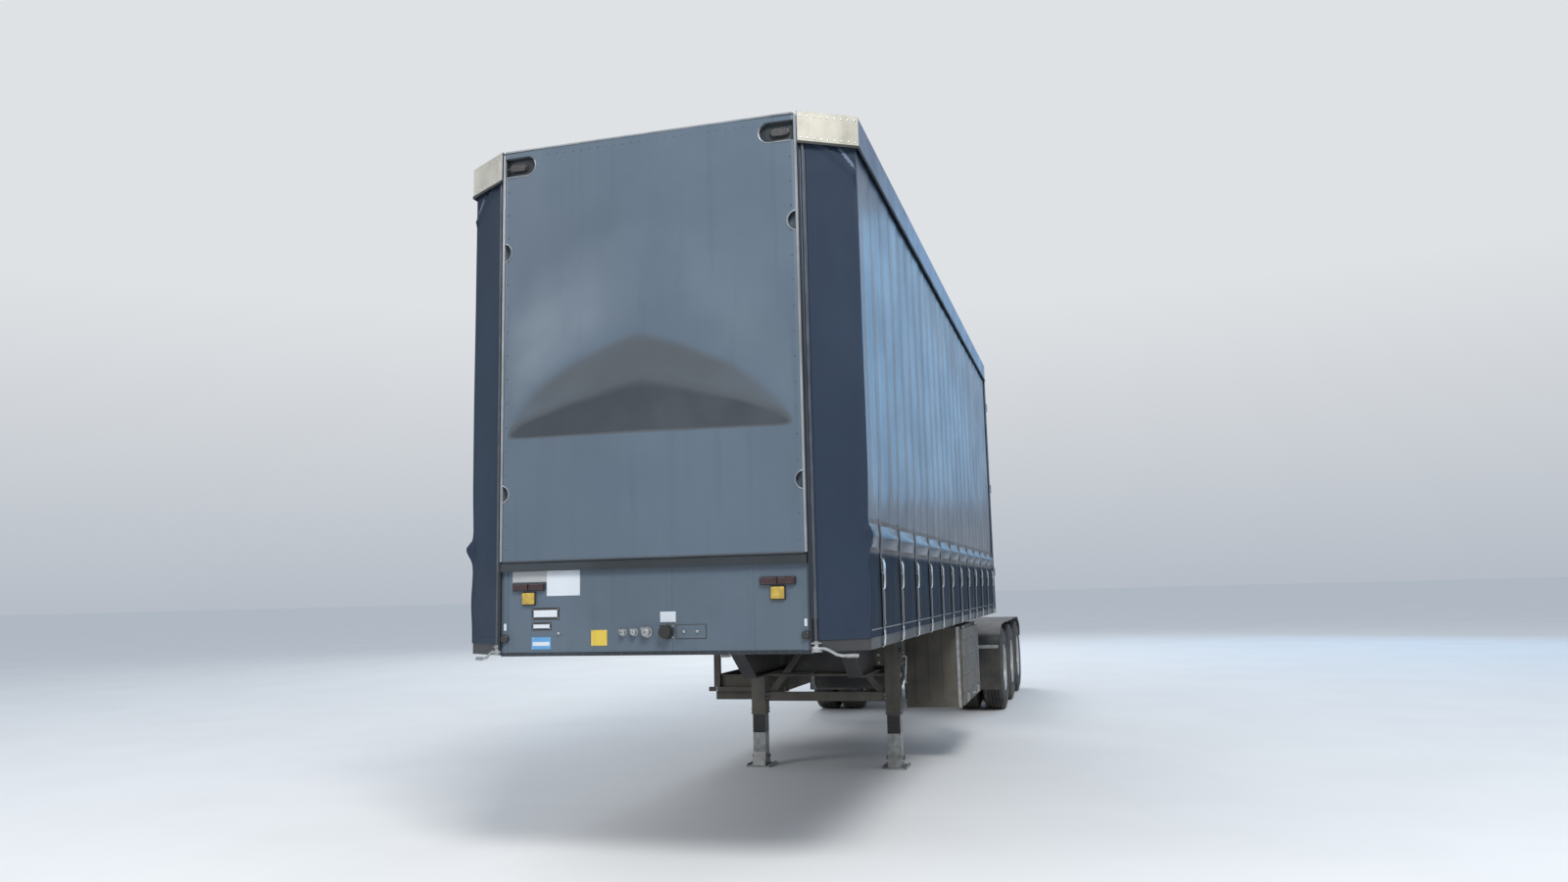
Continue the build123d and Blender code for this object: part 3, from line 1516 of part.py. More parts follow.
# Dunnage tray with its hanging frames
tray_rear = tray_front + tray_length
tray_bar_start = rail_centre - tray_post / 2
tray_posts = (
    # place across, top
    (rail_centre, rail_bottom - seat_gap),
    (tray_post_centre, side_rail_bottom - seat_gap),
)
with BuildPart() as dunnage_tray:
    with BuildSketch(Plane.XY.offset(tray_bottom)):
        Polygon(
            (-tray_outer, st(tray_front)),
            (-tray_inner, st(tray_front)),
            (-tray_inner, st(tray_rear)),
            (-tray_outer, st(tray_rear)),
            align=None,
        )
    extrude(amount=tray_top - tray_bottom)
    with BuildSketch(Plane.XY.offset(tray_bottom + tray_sheet)):
        Polygon(
            (-tray_outer + tray_sheet, st(tray_front + tray_sheet)),
            (-tray_inner - tray_sheet, st(tray_front + tray_sheet)),
            (-tray_inner - tray_sheet, st(tray_rear - tray_sheet)),
            (-tray_outer + tray_sheet, st(tray_rear - tray_sheet)),
            align=None,
        )
    extrude(amount=tray_top - tray_bottom, mode=Mode.SUBTRACT)
    for frame_y in (tray_front - tray_bar_height, tray_rear):
        with BuildSketch(Plane.XZ.offset(-st(frame_y))):
            with Locations((-(tray_bar_start + tray_bar_end) / 2, tray_bar_level)):
                Rectangle(tray_bar_end - tray_bar_start, tray_bar_height)
            for post_x, post_top in tray_posts:
                with Locations((-post_x, (tray_bar_level + post_top) / 2)):
                    Rectangle(tray_post, post_top - tray_bar_level)
        extrude(amount=-tray_bar_height)
finish(dunnage_tray.part, "dunnage_tray")

# Air tanks across the frame, with brackets up to the rails
with BuildPart() as air_tanks:
    for station in tank_stations:
        tank_y = st(station)
        with BuildSketch(Plane.YZ):
            with Locations((tank_y, tank_height)):
                RegularPolygon(tank_radius, ring_sides)
        extrude(amount=tank_half_length, both=True)
        with BuildSketch(Plane.XY.offset(rail_bottom)):
            for side_name, side in sides:
                with Locations((side * tank_bracket_centre, tank_y)):
                    Rectangle(tank_bracket_width, tank_bracket_length)
        extrude(amount=-(rail_bottom - tank_height))
finish(air_tanks.part, "air_tanks")
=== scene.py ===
"""Looks of the curtain-sided lead trailer: materials, dressed pieces, light and camera."""
import math
import random

import bmesh
import bpy
from mathutils import Matrix, Vector, noise


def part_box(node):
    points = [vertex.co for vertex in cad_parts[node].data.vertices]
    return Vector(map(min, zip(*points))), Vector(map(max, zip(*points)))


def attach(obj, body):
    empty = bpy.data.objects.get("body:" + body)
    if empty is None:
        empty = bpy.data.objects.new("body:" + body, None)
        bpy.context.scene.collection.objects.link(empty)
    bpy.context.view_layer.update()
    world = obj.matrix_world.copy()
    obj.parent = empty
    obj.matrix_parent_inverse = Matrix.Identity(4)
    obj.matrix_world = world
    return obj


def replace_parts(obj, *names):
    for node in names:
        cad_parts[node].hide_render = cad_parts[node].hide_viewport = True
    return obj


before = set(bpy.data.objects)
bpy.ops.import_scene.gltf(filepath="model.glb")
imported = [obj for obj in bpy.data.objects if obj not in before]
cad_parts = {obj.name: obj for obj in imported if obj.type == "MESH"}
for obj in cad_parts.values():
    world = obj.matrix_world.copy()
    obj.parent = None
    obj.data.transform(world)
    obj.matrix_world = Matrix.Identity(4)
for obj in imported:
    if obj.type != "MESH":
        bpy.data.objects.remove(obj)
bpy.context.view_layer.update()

rng = random.Random(7)
scene = bpy.context.scene

# Leading places: the flat front, the wall behind the panel, the slanting front corners
PANEL_DEPTH = 0.035
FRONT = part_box("front_wall")[0].y - PANEL_DEPTH
SIDES = {"left": 1, "right": -1}
SLANT_X, SLANT_Y = 0.8486, 0.5290
FLAT_HALF = 0.934
HALF_WIDTH = 1.25


def st(distance):
    """Y of a place, given as its distance behind the flat front."""
    return FRONT + distance


def smooth(t):
    """An even step from 0 to 1."""
    t = min(1.0, max(0.0, t))
    return t * t * (3 - 2 * t)


def wave(x, y, z, size):
    """Smooth seeded noise in -1..1 at a feature size in metres."""
    return noise.noise(Vector((x / size, y / size, z / size)))


# Materials


class Nodes:
    """A material's node tree with short ways to add and join nodes."""

    def __init__(self, name):
        self.material = bpy.data.materials.new(name)
        self.material.use_nodes = True
        self.tree = self.material.node_tree
        self.shader = self.tree.nodes["Principled BSDF"]
        coordinates = self.node("ShaderNodeTexCoord")
        self.place = coordinates.outputs["Object"]

    def node(self, kind, **settings):
        made = self.tree.nodes.new(kind)
        for key, value in settings.items():
            setattr(made, key, value)
        return made

    def link(self, source, target):
        if isinstance(source, (int, float)):
            target.default_value = source
        elif isinstance(source, tuple):
            target.default_value = (*source, 1.0)
        else:
            self.tree.links.new(source, target)

    def noise(self, scale, stretch=(1, 1, 1), detail=4.0, rough=0.55):
        mapping = self.node("ShaderNodeMapping")
        self.link(self.place, mapping.inputs["Vector"])
        mapping.inputs["Scale"].default_value = stretch
        made = self.node("ShaderNodeTexNoise")
        self.link(mapping.outputs["Vector"], made.inputs["Vector"])
        made.inputs["Scale"].default_value = scale
        made.inputs["Detail"].default_value = detail
        made.inputs["Roughness"].default_value = rough
        return made.outputs["Fac"]

    def range(self, value, low, high, to_low=0.0, to_high=1.0):
        made = self.node("ShaderNodeMapRange", interpolation_type="SMOOTHSTEP")
        self.link(value, made.inputs["Value"])
        limits = {"From Min": low, "From Max": high, "To Min": to_low, "To Max": to_high}
        for key, number in limits.items():
            made.inputs[key].default_value = number
        return made.outputs["Result"]

    def math(self, operation, first, second=0.0):
        made = self.node("ShaderNodeMath", operation=operation)
        self.link(first, made.inputs[0])
        self.link(second, made.inputs[1])
        return made.outputs[0]

    def times(self, *factors):
        product = factors[0]
        for factor in factors[1:]:
            product = self.math("MULTIPLY", product, factor)
        return product

    def mix(self, factor, first, second):
        made = self.node("ShaderNodeMix", data_type="RGBA")
        self.link(factor, made.inputs[0])
        self.link(first, made.inputs[6])
        self.link(second, made.inputs[7])
        return made.outputs[2]

    def axis(self, name):
        made = self.node("ShaderNodeSeparateXYZ")
        self.link(self.place, made.inputs[0])
        return made.outputs[name]

    def normal(self, name):
        geometry = self.node("ShaderNodeNewGeometry")
        made = self.node("ShaderNodeSeparateXYZ")
        self.link(geometry.outputs["Normal"], made.inputs[0])
        return made.outputs[name]

    def up(self):
        """1 where a face looks up, 0 elsewhere."""
        return self.range(self.normal("Z"), 0.35, 0.95)

    def down(self, start, end):
        """0 where a face's normal drops by less than start, 1 past end."""
        return self.range(self.normal("Z"), -start, -end)

    def bump(self, height, strength, distance, under=None):
        made = self.node("ShaderNodeBump")
        made.inputs["Strength"].default_value = strength
        made.inputs["Distance"].default_value = distance
        self.link(height, made.inputs["Height"])
        if under is not None:
            self.link(under, made.inputs["Normal"])
        return made.outputs["Normal"]

    def surface(self, tone, roughness, normal):
        """Joins colour, roughness and bump to the shader. Gives back the finished material."""
        for key, value in (("Base Color", tone), ("Roughness", roughness), ("Normal", normal)):
            self.link(value, self.shader.inputs[key])
        return self.material


def shade(colour, amount):
    return tuple(min(1.0, c * amount) for c in colour)


DUST = (0.235, 0.205, 0.165)
RUST = (0.20, 0.075, 0.028)


def finish(
    name, colour, rough, metal=0.0, vary=0.12, patch=1.4, streak=0.0, dust=0.0, dust_top=1.3, top_dust=0.5,
    rust=0.0, grain=90.0, bump=0.1, depth=0.001, painted_underside_shade=None,
):
    """A weathered surface: patches, run-down streaks, road dust from below, specks of rust, fine bump, and,
    if given, painted shade on faces that look down.
    """
    nodes = Nodes(name)
    patches = nodes.range(nodes.noise(patch, detail=6), 0.3, 0.7)
    tone = nodes.mix(patches, shade(colour, 1 - vary), shade(colour, 1 + vary))
    if streak:
        runs = nodes.range(nodes.noise(1.0, (16, 16, 0.55), detail=5), 0.52, 0.74)
        tone = nodes.mix(nodes.times(runs, streak), tone, shade(colour, 0.45))
        pale = nodes.range(nodes.noise(1.0, (23, 23, 0.8), detail=3), 0.58, 0.8)
        tone = nodes.mix(nodes.times(pale, streak * 0.6), tone, shade(colour, 1.35))
    if rust:
        specks = nodes.range(nodes.noise(14.0, detail=8, rough=0.7), 0.60, 0.68)
        where = nodes.range(nodes.noise(1.7, detail=3), 0.45, 0.62)
        rusty = nodes.times(specks, where, rust)
        tone = nodes.mix(rusty, tone, RUST)
    roughness = nodes.range(nodes.noise(patch * 3.1, detail=5), 0.25, 0.75, rough * 0.82, rough * 1.18)
    if dust:
        level = nodes.range(nodes.axis("Z"), 0.0, dust_top, 1.0, 0.0)
        cloud = nodes.range(nodes.noise(3.3, detail=7), 0.28, 0.66)
        fine = nodes.range(nodes.noise(40.0, detail=4), 0.2, 0.7, 0.75, 1.0)
        amount = nodes.times(level, cloud, fine)
        above = nodes.times(nodes.up(), nodes.range(cloud, 0.0, 1.0, 0.5 * top_dust, top_dust))
        amount = nodes.math("MAXIMUM", nodes.times(amount, dust), above)
        tone = nodes.mix(amount, tone, DUST)
        roughness = nodes.math("ADD", roughness, nodes.times(amount, 0.35))
    # Painted shade: faces that look down are darkened, the steeper ones further and in patches.
    if painted_underside_shade:
        tone = nodes.mix(nodes.down(0.01, 0.10), tone, painted_underside_shade[0])
        painted_shade_amount = nodes.range(nodes.noise(2.3, detail=4), 0.3, 0.6, 0.55, 1.0)
        tone = nodes.mix(nodes.times(nodes.down(0.11, 0.21), painted_shade_amount), tone, painted_underside_shade[1])
    nodes.shader.inputs["Metallic"].default_value = metal
    normal = nodes.bump(nodes.noise(grain, detail=3), bump, depth)
    normal = nodes.bump(nodes.noise(2.6, detail=2), 0.25, 0.004, normal)
    return nodes.surface(tone, roughness, normal)


def cloth(name, colour, rough, thread, sheen=0.0, coat=0.0, vary=0.12, dust=0.25, dust_top=1.9, dull=None):
    """Woven or coated cloth: two crossed thread waves, soft patches, dust towards the ground.

    Below the height dull, and in part where it faces forwards, the cloth gets painted shade: it is darker and
    loses its coat.
    """
    nodes = Nodes(name)
    patches = nodes.range(nodes.noise(0.9, (1, 1, 0.6), detail=6), 0.3, 0.7)
    tone = nodes.mix(patches, shade(colour, 1 - vary), shade(colour, 1 + vary))
    wiped = nodes.range(nodes.noise(2.2, (1, 2.5, 0.5), detail=5), 0.5, 0.8)
    tone = nodes.mix(nodes.times(wiped, 0.28), tone, shade(colour, 1.7))
    level = nodes.range(nodes.axis("Z"), 1.2, dust_top, 1.0, 0.0)
    cloud = nodes.range(nodes.noise(4.0, detail=6), 0.3, 0.7)
    amount = nodes.times(level, cloud, dust)
    tone = nodes.mix(amount, tone, DUST)
    roughness = nodes.range(nodes.noise(1.8, detail=5), 0.25, 0.75, rough * 0.8, rough * 1.25)
    # Painted shade: the sides' low band, and the slanting corners by half, are darkened and lose gloss.
    if dull:
        sideways = nodes.range(nodes.math("ABSOLUTE", nodes.normal("X")), 0.60, 0.85)
        low = nodes.times(nodes.range(nodes.axis("Z"), dull, dull + 0.05, 1.0, 0.0), sideways)
        painted_shade_amount = nodes.math("MAXIMUM", low, nodes.range(sideways, 0.0, 1.0, 0.5, 0.0))
        tone = nodes.mix(nodes.times(painted_shade_amount, 0.5), tone, shade(colour, 0.25))
        roughness = nodes.math("ADD", roughness, nodes.times(painted_shade_amount, 0.3))
    nodes.shader.inputs["Sheen Weight"].default_value = sheen
    if dull:
        coated = nodes.range(painted_shade_amount, 0.0, 1.0, coat, 0.0)
        gloss = nodes.times(coated, nodes.range(sideways, 0.0, 1.0, 0.2))
        nodes.link(gloss, nodes.shader.inputs["Coat Weight"])
        nodes.link(nodes.range(painted_shade_amount, 0.0, 1.0, 0.25, 0.06), nodes.shader.inputs["Specular IOR Level"])
    else:
        nodes.shader.inputs["Coat Weight"].default_value = coat
    nodes.shader.inputs["Coat Roughness"].default_value = 0.16
    height = None
    for stretch in ((1, 1, 0), (0, 0, 1)):
        mapping = nodes.node("ShaderNodeMapping")
        nodes.link(nodes.place, mapping.inputs["Vector"])
        mapping.inputs["Scale"].default_value = stretch
        made = nodes.node("ShaderNodeTexWave", wave_type="BANDS", bands_direction="DIAGONAL")
        nodes.link(mapping.outputs["Vector"], made.inputs["Vector"])
        made.inputs["Scale"].default_value = thread
        height = made.outputs["Fac"] if height is None else nodes.math("ADD", height, made.outputs["Fac"])
    normal = nodes.bump(height, 0.12, 0.0006)
    normal = nodes.bump(nodes.noise(9.0, (1, 1, 0.5), detail=4), 0.35, 0.004, normal)
    return nodes.surface(tone, roughness, normal)


def lens(name, colour, ribs=180.0):
    """Ribbed lamp lens."""
    nodes = Nodes(name)
    patches = nodes.range(nodes.noise(30.0, detail=3), 0.3, 0.7)
    tone = nodes.mix(patches, shade(colour, 0.75), shade(colour, 1.15))
    nodes.shader.inputs["Coat Weight"].default_value = 0.6
    made = nodes.node("ShaderNodeTexWave", wave_type="BANDS", bands_direction="X")
    nodes.link(nodes.place, made.inputs["Vector"])
    made.inputs["Scale"].default_value = ribs
    return nodes.surface(tone, 0.22, nodes.bump(made.outputs["Fac"], 0.5, 0.001))


def planks(name, colour):
    """Deck boards along the length, with grain, joints and wear."""
    nodes = Nodes(name)
    fibres = nodes.range(nodes.noise(1.0, (60, 1.6, 20), detail=7), 0.25, 0.75)
    tone = nodes.mix(fibres, shade(colour, 0.6), shade(colour, 1.35))
    across = nodes.math("FRACT", nodes.times(nodes.axis("X"), 6.0))
    joint = nodes.math("LESS_THAN", across, 0.03)
    tone = nodes.mix(joint, tone, shade(colour, 0.2))
    scuffs = nodes.range(nodes.noise(1.2, (3, 0.6, 1), detail=6), 0.5, 0.7)
    tone = nodes.mix(nodes.times(scuffs, 0.5), tone, (0.20, 0.17, 0.14))
    grooved = nodes.math("SUBTRACT", fibres, nodes.times(joint, 2.0))
    return nodes.surface(tone, 0.78, nodes.bump(grooved, 0.35, 0.002))


MATS = {
    # The front panel's faces that look down, below the dent's ridge, carry painted shade.
    "panel_paint": finish(
        "panel_grey", (0.094, 0.128, 0.166), 0.42, metal=0.1, vary=0.08, patch=0.8, streak=0.12,
        bump=0.05, grain=140, painted_underside_shade=((0.078, 0.088, 0.098), (0.038, 0.047, 0.058)),
    ),
    "wall_paint": finish(
        "wall_grey", (0.088, 0.120, 0.155), 0.45, metal=0.1, vary=0.07, streak=0.16, dust=0.12, dust_top=2.2,
    ),
    "dark_trim": finish("trim_dark", (0.017, 0.023, 0.029), 0.55, vary=0.3, top_dust=0.0),
    "bare_aluminium": finish(
        "aluminium_dull", (0.15, 0.19, 0.26), 0.42, metal=0.75, vary=0.12, streak=0.2, rust=0.1, bump=0.12,
    ),
    "roof_sheet": finish(
        "roof_dull", (0.50, 0.51, 0.51), 0.5, metal=0.5, vary=0.15, dust=0.3, top_dust=0.3,
    ),
    "galvanised_steel": finish(
        "zinc", (0.40, 0.41, 0.41), 0.42, metal=0.8, vary=0.22, patch=22.0, rust=0.45, dust=0.35, bump=0.2
    ),
    "floor_ply": planks("deck_boards", (0.25, 0.17, 0.10)),
    "chassis_paint": finish(
        "chassis_black", (0.030, 0.031, 0.034), 0.5, vary=0.3, dust=0.45, dust_top=1.5, top_dust=0.55,
        rust=0.5,
    ),
    "worn_steel": finish("steel_worn", (0.22, 0.205, 0.19), 0.34, metal=0.9, vary=0.3, rust=0.3),
    "leg_paint": finish(
        "leg_olive", (0.105, 0.098, 0.082), 0.55, vary=0.25, patch=4, dust=0.5, dust_top=1.1, rust=0.7,
        streak=0.3,
    ),
    "box_paint": finish(
        "box_dusty", (0.062, 0.057, 0.046), 0.6, vary=0.3, patch=2.5, dust=0.42, dust_top=1.5, rust=0.3,
        streak=0.2,
    ),
    "black_rubber": finish(
        "rubber_black", (0.022, 0.022, 0.022), 0.7, vary=0.3, dust=0.5, dust_top=1.1, top_dust=0.6,
        grain=220, bump=0.3,
    ),
    "black_plastic": finish(
        "plastic_black", (0.03, 0.03, 0.031), 0.5, vary=0.2, dust=0.3, dust_top=1.2, top_dust=0.22,
        grain=400, bump=0.25,
    ),
    "cast_metal": finish(
        "casting", (0.075, 0.072, 0.07), 0.42, metal=0.6, vary=0.35, patch=5, rust=0.5, dust=0.3,
        bump=0.5, grain=160,
    ),
    "door_paint": finish(
        "door_grey", (0.17, 0.20, 0.235), 0.4, vary=0.08, streak=0.25, dust=0.5, dust_top=3.2, top_dust=0.4
    ),
    # The curtain's low band and its slanting corners carry painted shade.
    "curtain_fabric": cloth(
        "curtain_coated", (0.026, 0.042, 0.070), 0.36, 260.0, coat=0.42, dust=0.04, dull=1.76
    ),
    "strap_webbing": cloth("webbing", (0.012, 0.014, 0.020), 0.6, 900.0, sheen=0.1, dust=0.03),
    "tyre_rubber": finish(
        "tyre", (0.020, 0.020, 0.021), 0.72, vary=0.25, patch=6, dust=0.38, dust_top=1.3, top_dust=0.3,
        grain=300, bump=0.25,
    ),
    "rim_paint": finish(
        "rim_white", (0.44, 0.44, 0.43), 0.42, metal=0.2, vary=0.15, patch=6, dust=0.45, dust_top=1.3,
        rust=0.4,
    ),
    "hem_edge": cloth("hem_light", (0.20, 0.205, 0.21), 0.5, 300.0),
    "buckle_steel": finish(
        "buckle_bright", (0.62, 0.62, 0.60), 0.24, metal=1.0, vary=0.2, patch=30, rust=0.3,
    ),
    "cap_metal": finish(
        "cap_beige", (0.50, 0.475, 0.40), 0.38, metal=0.25, vary=0.14, patch=5, streak=0.25, rust=0.25
    ),
    "plate_white": finish("plate_white", (0.56, 0.60, 0.64), 0.4, vary=0.06, streak=0.2),
    "plate_grey": finish("plate_grey", (0.36, 0.37, 0.375), 0.45, vary=0.08, streak=0.2),
    "plate_black": finish("plate_black", (0.03, 0.03, 0.03), 0.4, vary=0.1),
    "plate_blue": finish("plate_blue", (0.10, 0.28, 0.52), 0.4, vary=0.08),
    "plate_yellow": finish("plate_yellow", (0.62, 0.45, 0.06), 0.42, vary=0.1, streak=0.2),
    "amber": lens("lens_amber", (0.50, 0.34, 0.06)),
    "red": lens("lens_red", (0.19, 0.018, 0.015)),
    "dark_red": lens("lens_dark_red", (0.044, 0.019, 0.020)),
    "clear": lens("lens_smoked", (0.030, 0.026, 0.026)),
    "grease": finish(
        "grease", (0.018, 0.016, 0.014), 0.2, vary=0.4, patch=8, bump=0.6, grain=30, depth=0.004,
    ),
    "pole_metal": finish("pole_dull", (0.085, 0.095, 0.11), 0.45, metal=0.5, vary=0.2, patch=8, rust=0.2),
    # Pale edge metal, paler for its own metal and as a painted highlight of rounded edges.
    "edge_metal_and_highlight": finish("edge_pale_and_highlight", (0.30, 0.32, 0.33), 0.35, metal=0.4, vary=0.15, patch=6, streak=0.2),
    "strap_pale": cloth("webbing_pale", (0.13, 0.135, 0.145), 0.6, 900.0, dust=0.1),
    "rubber_seal": finish("seal_black", (0.02, 0.02, 0.02), 0.55, vary=0.2),
}

# Mesh building


class Shape:
    """Collects solids into one mesh, each with a material index."""

    def __init__(self):
        self.mesh = bmesh.new()

    def add(self, points, faces, index=0):
        made = [self.mesh.verts.new(p) for p in points]
        for face in faces:
            self.mesh.faces.new([made[i] for i in face]).material_index = index

    def box(self, low, high, index=0):
        corners = [(x, y, z) for x in (low[0], high[0]) for y in (low[1], high[1]) for z in (low[2], high[2])]
        faces = ((0, 1, 3, 2), (4, 6, 7, 5), (0, 4, 5, 1), (2, 3, 7, 6), (0, 2, 6, 4), (1, 5, 7, 3))
        self.add(corners, faces, index)

    def prism(self, outline, axis, low, high, index=0):
        """A plan outline carried along x, y or z. The outline's pairs are the other two axes in order."""
        def place(pair, t):
            a, b = pair
            return {"x": (t, a, b), "y": (a, t, b), "z": (a, b, t)}[axis]

        count = len(outline)
        points = [place(p, low) for p in outline] + [place(p, high) for p in outline]
        faces = [tuple(range(count)), tuple(range(count, 2 * count))]
        faces += [(i, (i + 1) % count, count + (i + 1) % count, count + i) for i in range(count)]
        self.add(points, faces, index)

    def lathe(self, profile, centre, axis, steps=32, index=0, wobble=None, closed=False):
        """Turns (radius, distance along the axis) pairs round an axis; a closed profile makes a ring."""
        a = {"x": 0, "y": 1, "z": 2}[axis]
        b, c = [i for i in range(3) if i != a]
        points = []
        for step in range(steps):
            angle = 2 * math.pi * step / steps
            for k, (radius, along) in enumerate(profile):
                if wobble is not None:
                    radius, along = wobble(step, k, radius, along)
                point = [0, 0, 0]
                point[a] = centre[a] + along
                point[b] = centre[b] + radius * math.cos(angle)
                point[c] = centre[c] + radius * math.sin(angle)
                points.append(point)
        n = len(profile)
        faces = []
        for step in range(steps):
            nxt = (step + 1) % steps
            for k in range(n if closed else n - 1):
                m = (k + 1) % n
                faces.append((step * n + k, step * n + m, nxt * n + m, nxt * n + k))
        if not closed:
            for end in (0, n - 1):
                if profile[end][0] > 1e-6:
                    faces.append(tuple(step * n + end for step in range(steps)))
        self.add(points, faces, index)

    def tube(self, path, radius, sides=10, index=0):
        """A round bar along a path, with its ends capped."""
        path = [Vector(p) for p in path]
        count = len(path)
        points = []
        side = None
        for i, here in enumerate(path):
            ahead, behind = path[min(i + 1, count - 1)], path[max(i - 1, 0)]
            direction = (ahead - behind).normalized()
            if side is None:
                helper = Vector((0, 0, 1)) if abs(direction.z) < 0.9 else Vector((1, 0, 0))
                side = direction.cross(helper).normalized()
            else:
                side = (side - direction * side.dot(direction)).normalized()
            other = direction.cross(side)
            for k in range(sides):
                angle = 2 * math.pi * k / sides
                points.append(here + (side * math.cos(angle) + other * math.sin(angle)) * radius)
        faces = []
        for i in range(count - 1):
            j = i + 1
            for k in range(sides):
                m = (k + 1) % sides
                faces.append((i * sides + k, i * sides + m, j * sides + m, j * sides + k))
        faces.append(tuple(range(sides)))
        faces.append(tuple((count - 1) * sides + k for k in range(sides)))
        self.add(points, faces, index)

    def bolt(self, centre, axis, size=0.010, height=0.007, index=0, sign=1):
        """Hexagon head with a washer under it."""
        washer = [(size * 1.35, 0), (size * 1.35, sign * height * 0.25), (0, sign * height * 0.25)]
        self.lathe(washer, centre, axis, 12, index)
        head = [(size, 0), (size, sign * height * 0.85), (size * 0.8, sign * height), (0, sign * height)]
        self.lathe(head, centre, axis, 6, index)

    def rivet(self, centre, axis, size=0.006, index=0, sign=1):
        """Low dome of a rivet's head."""
        dome = ((1, 0), (0.8, 0.35), (0.4, 0.5), (0, 0.52))
        self.lathe([(size * radius, sign * size * rise) for radius, rise in dome], centre, axis, 8, index)

    def mesh_data(self, name, mats, angle=32):
        """The solids as mesh data with materials and sharp edges. The shape can't be used again."""
        bmesh.ops.remove_doubles(self.mesh, verts=self.mesh.verts, dist=1e-6)
        bmesh.ops.recalc_face_normals(self.mesh, faces=self.mesh.faces)
        data = bpy.data.meshes.new(name)
        self.mesh.to_mesh(data)
        self.mesh.free()
        for key in mats:
            data.materials.append(MATS[key])
        data.shade_smooth()
        data.set_sharp_from_angle(angle=math.radians(angle))
        return data

    def make(self, name, mats, body="trailer", bevel=0.0, angle=32, segments=2):
        """The solids as a piece of the scene."""
        return dress(name, self.mesh_data(name, mats, angle), body, bevel, segments)


def dress(name, data, body="trailer", bevel=0.0, segments=2):
    """Makes an object of mesh data, with softened edges and the body it rides on."""
    piece = bpy.data.objects.new(name, data)
    scene.collection.objects.link(piece)
    if bevel:
        soften(piece, bevel, segments)
    if body:
        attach(piece, body)
    return piece


def soften(piece, width, segments=2):
    """Rounds the piece's sharp edges."""
    made = piece.modifiers.new("edges", "BEVEL")
    made.width = width
    made.segments = segments
    made.limit_method = "ANGLE"
    made.angle_limit = math.radians(40)
    made.harden_normals = False


def applied(piece):
    """The piece's mesh with its modifiers applied, as new mesh data."""
    graph = bpy.context.evaluated_depsgraph_get()
    return bpy.data.meshes.new_from_object(piece.evaluated_get(graph))


# CAD nodes: material by slot, softened edges
EDGE_WIDTH = {"front_wall": 0.003, "tool_box": 0.003, "tool_box_lid": 0.004, "turntable_plate": 0.004}


def paint_node(node_name, key, width=0.002):
    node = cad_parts[node_name]
    if not node.material_slots:
        node.data.materials.append(MATS[key])
    for slot in node.material_slots:
        slot.material = MATS[key]
    soften(node, EDGE_WIDTH.get(node_name, width))


NODE_FINISH = {
    "front_wall": "wall_paint", "panel_lip": "dark_trim", "corner_posts": "bare_aluminium",
    "coamings": "bare_aluminium", "roof": "roof_sheet", "roof_bows": "galvanised_steel",
    "deck": "floor_ply", "side_rails": "chassis_paint", "chassis_rails": "chassis_paint",
    "cross_members": "chassis_paint", "coupling_plate": "chassis_paint", "kingpin": "worn_steel",
    "landing_legs": "leg_paint", "landing_feet": "galvanised_steel", "landing_braces": "leg_paint",
    "tool_box": "box_paint", "tool_box_lid": "box_paint", "dunnage_tray": "box_paint",
    "axles": "chassis_paint", "suspension_hangers": "chassis_paint", "trailing_arms": "chassis_paint",
    "mudguards": "black_plastic", "mudflaps": "black_rubber", "guard_stays": "galvanised_steel",
    "turntable_base": "chassis_paint", "turntable_plate": "cast_metal", "rear_frame": "wall_paint",
    "tail_beam": "chassis_paint", "door_left": "door_paint", "door_right": "door_paint",
}
for node_name, key in NODE_FINISH.items():
    paint_node(node_name, key)

# Front panel with its dent
PANEL_HALF, PANEL_LOW, PANEL_HIGH = 0.924, 1.78, 4.29
PANEL_BACK = 0.0345
EDGE = 0.026
CREASE_Z, CREASE_TILT = 2.51, 0.012
DENT_MIDDLE, DENT_HALF, DENT_RISE = -0.01, 0.875, 0.084
RIDGE_SHARE = 0.72


def crease_height(x):
    return CREASE_Z - CREASE_TILT * x


def dent_rise(x, z):
    """How far the sheet stands out at a place of the front panel: a sharp crease, soft ridges above it."""
    crease = crease_height(x)
    if z < crease:
        return 0.0
    heights = [max(crease, z + 0.011 * k) for k in range(-4, 5)]
    soft = sum(dent_profile(x, height) for height in heights) / len(heights)
    return soft * smooth((z - crease) / 0.03) ** 0.4


def dent_profile(x, z):
    """The dent before softening: steep face up to the ridge, gentle to the crest, long fall to the top."""
    a = abs(x - DENT_MIDDLE) / DENT_HALF
    crease = crease_height(x)
    if a >= 1 or z < crease:
        return 0.0
    span = 1 - a * a
    rise = DENT_RISE * span**0.75
    ridge = crease + 0.285 * (1 - a) ** 0.82 + 0.002
    crest = ridge + 0.27 * span**0.5 + 0.01
    top = crest + 0.75
    if z < ridge:
        return RIDGE_SHARE * rise * (z - crease) / (ridge - crease)
    if z < crest:
        return rise * (RIDGE_SHARE + (1 - RIDGE_SHARE) * (z - ridge) / (crest - ridge))
    return rise * (1 - smooth((z - crest) / (top - crest)))


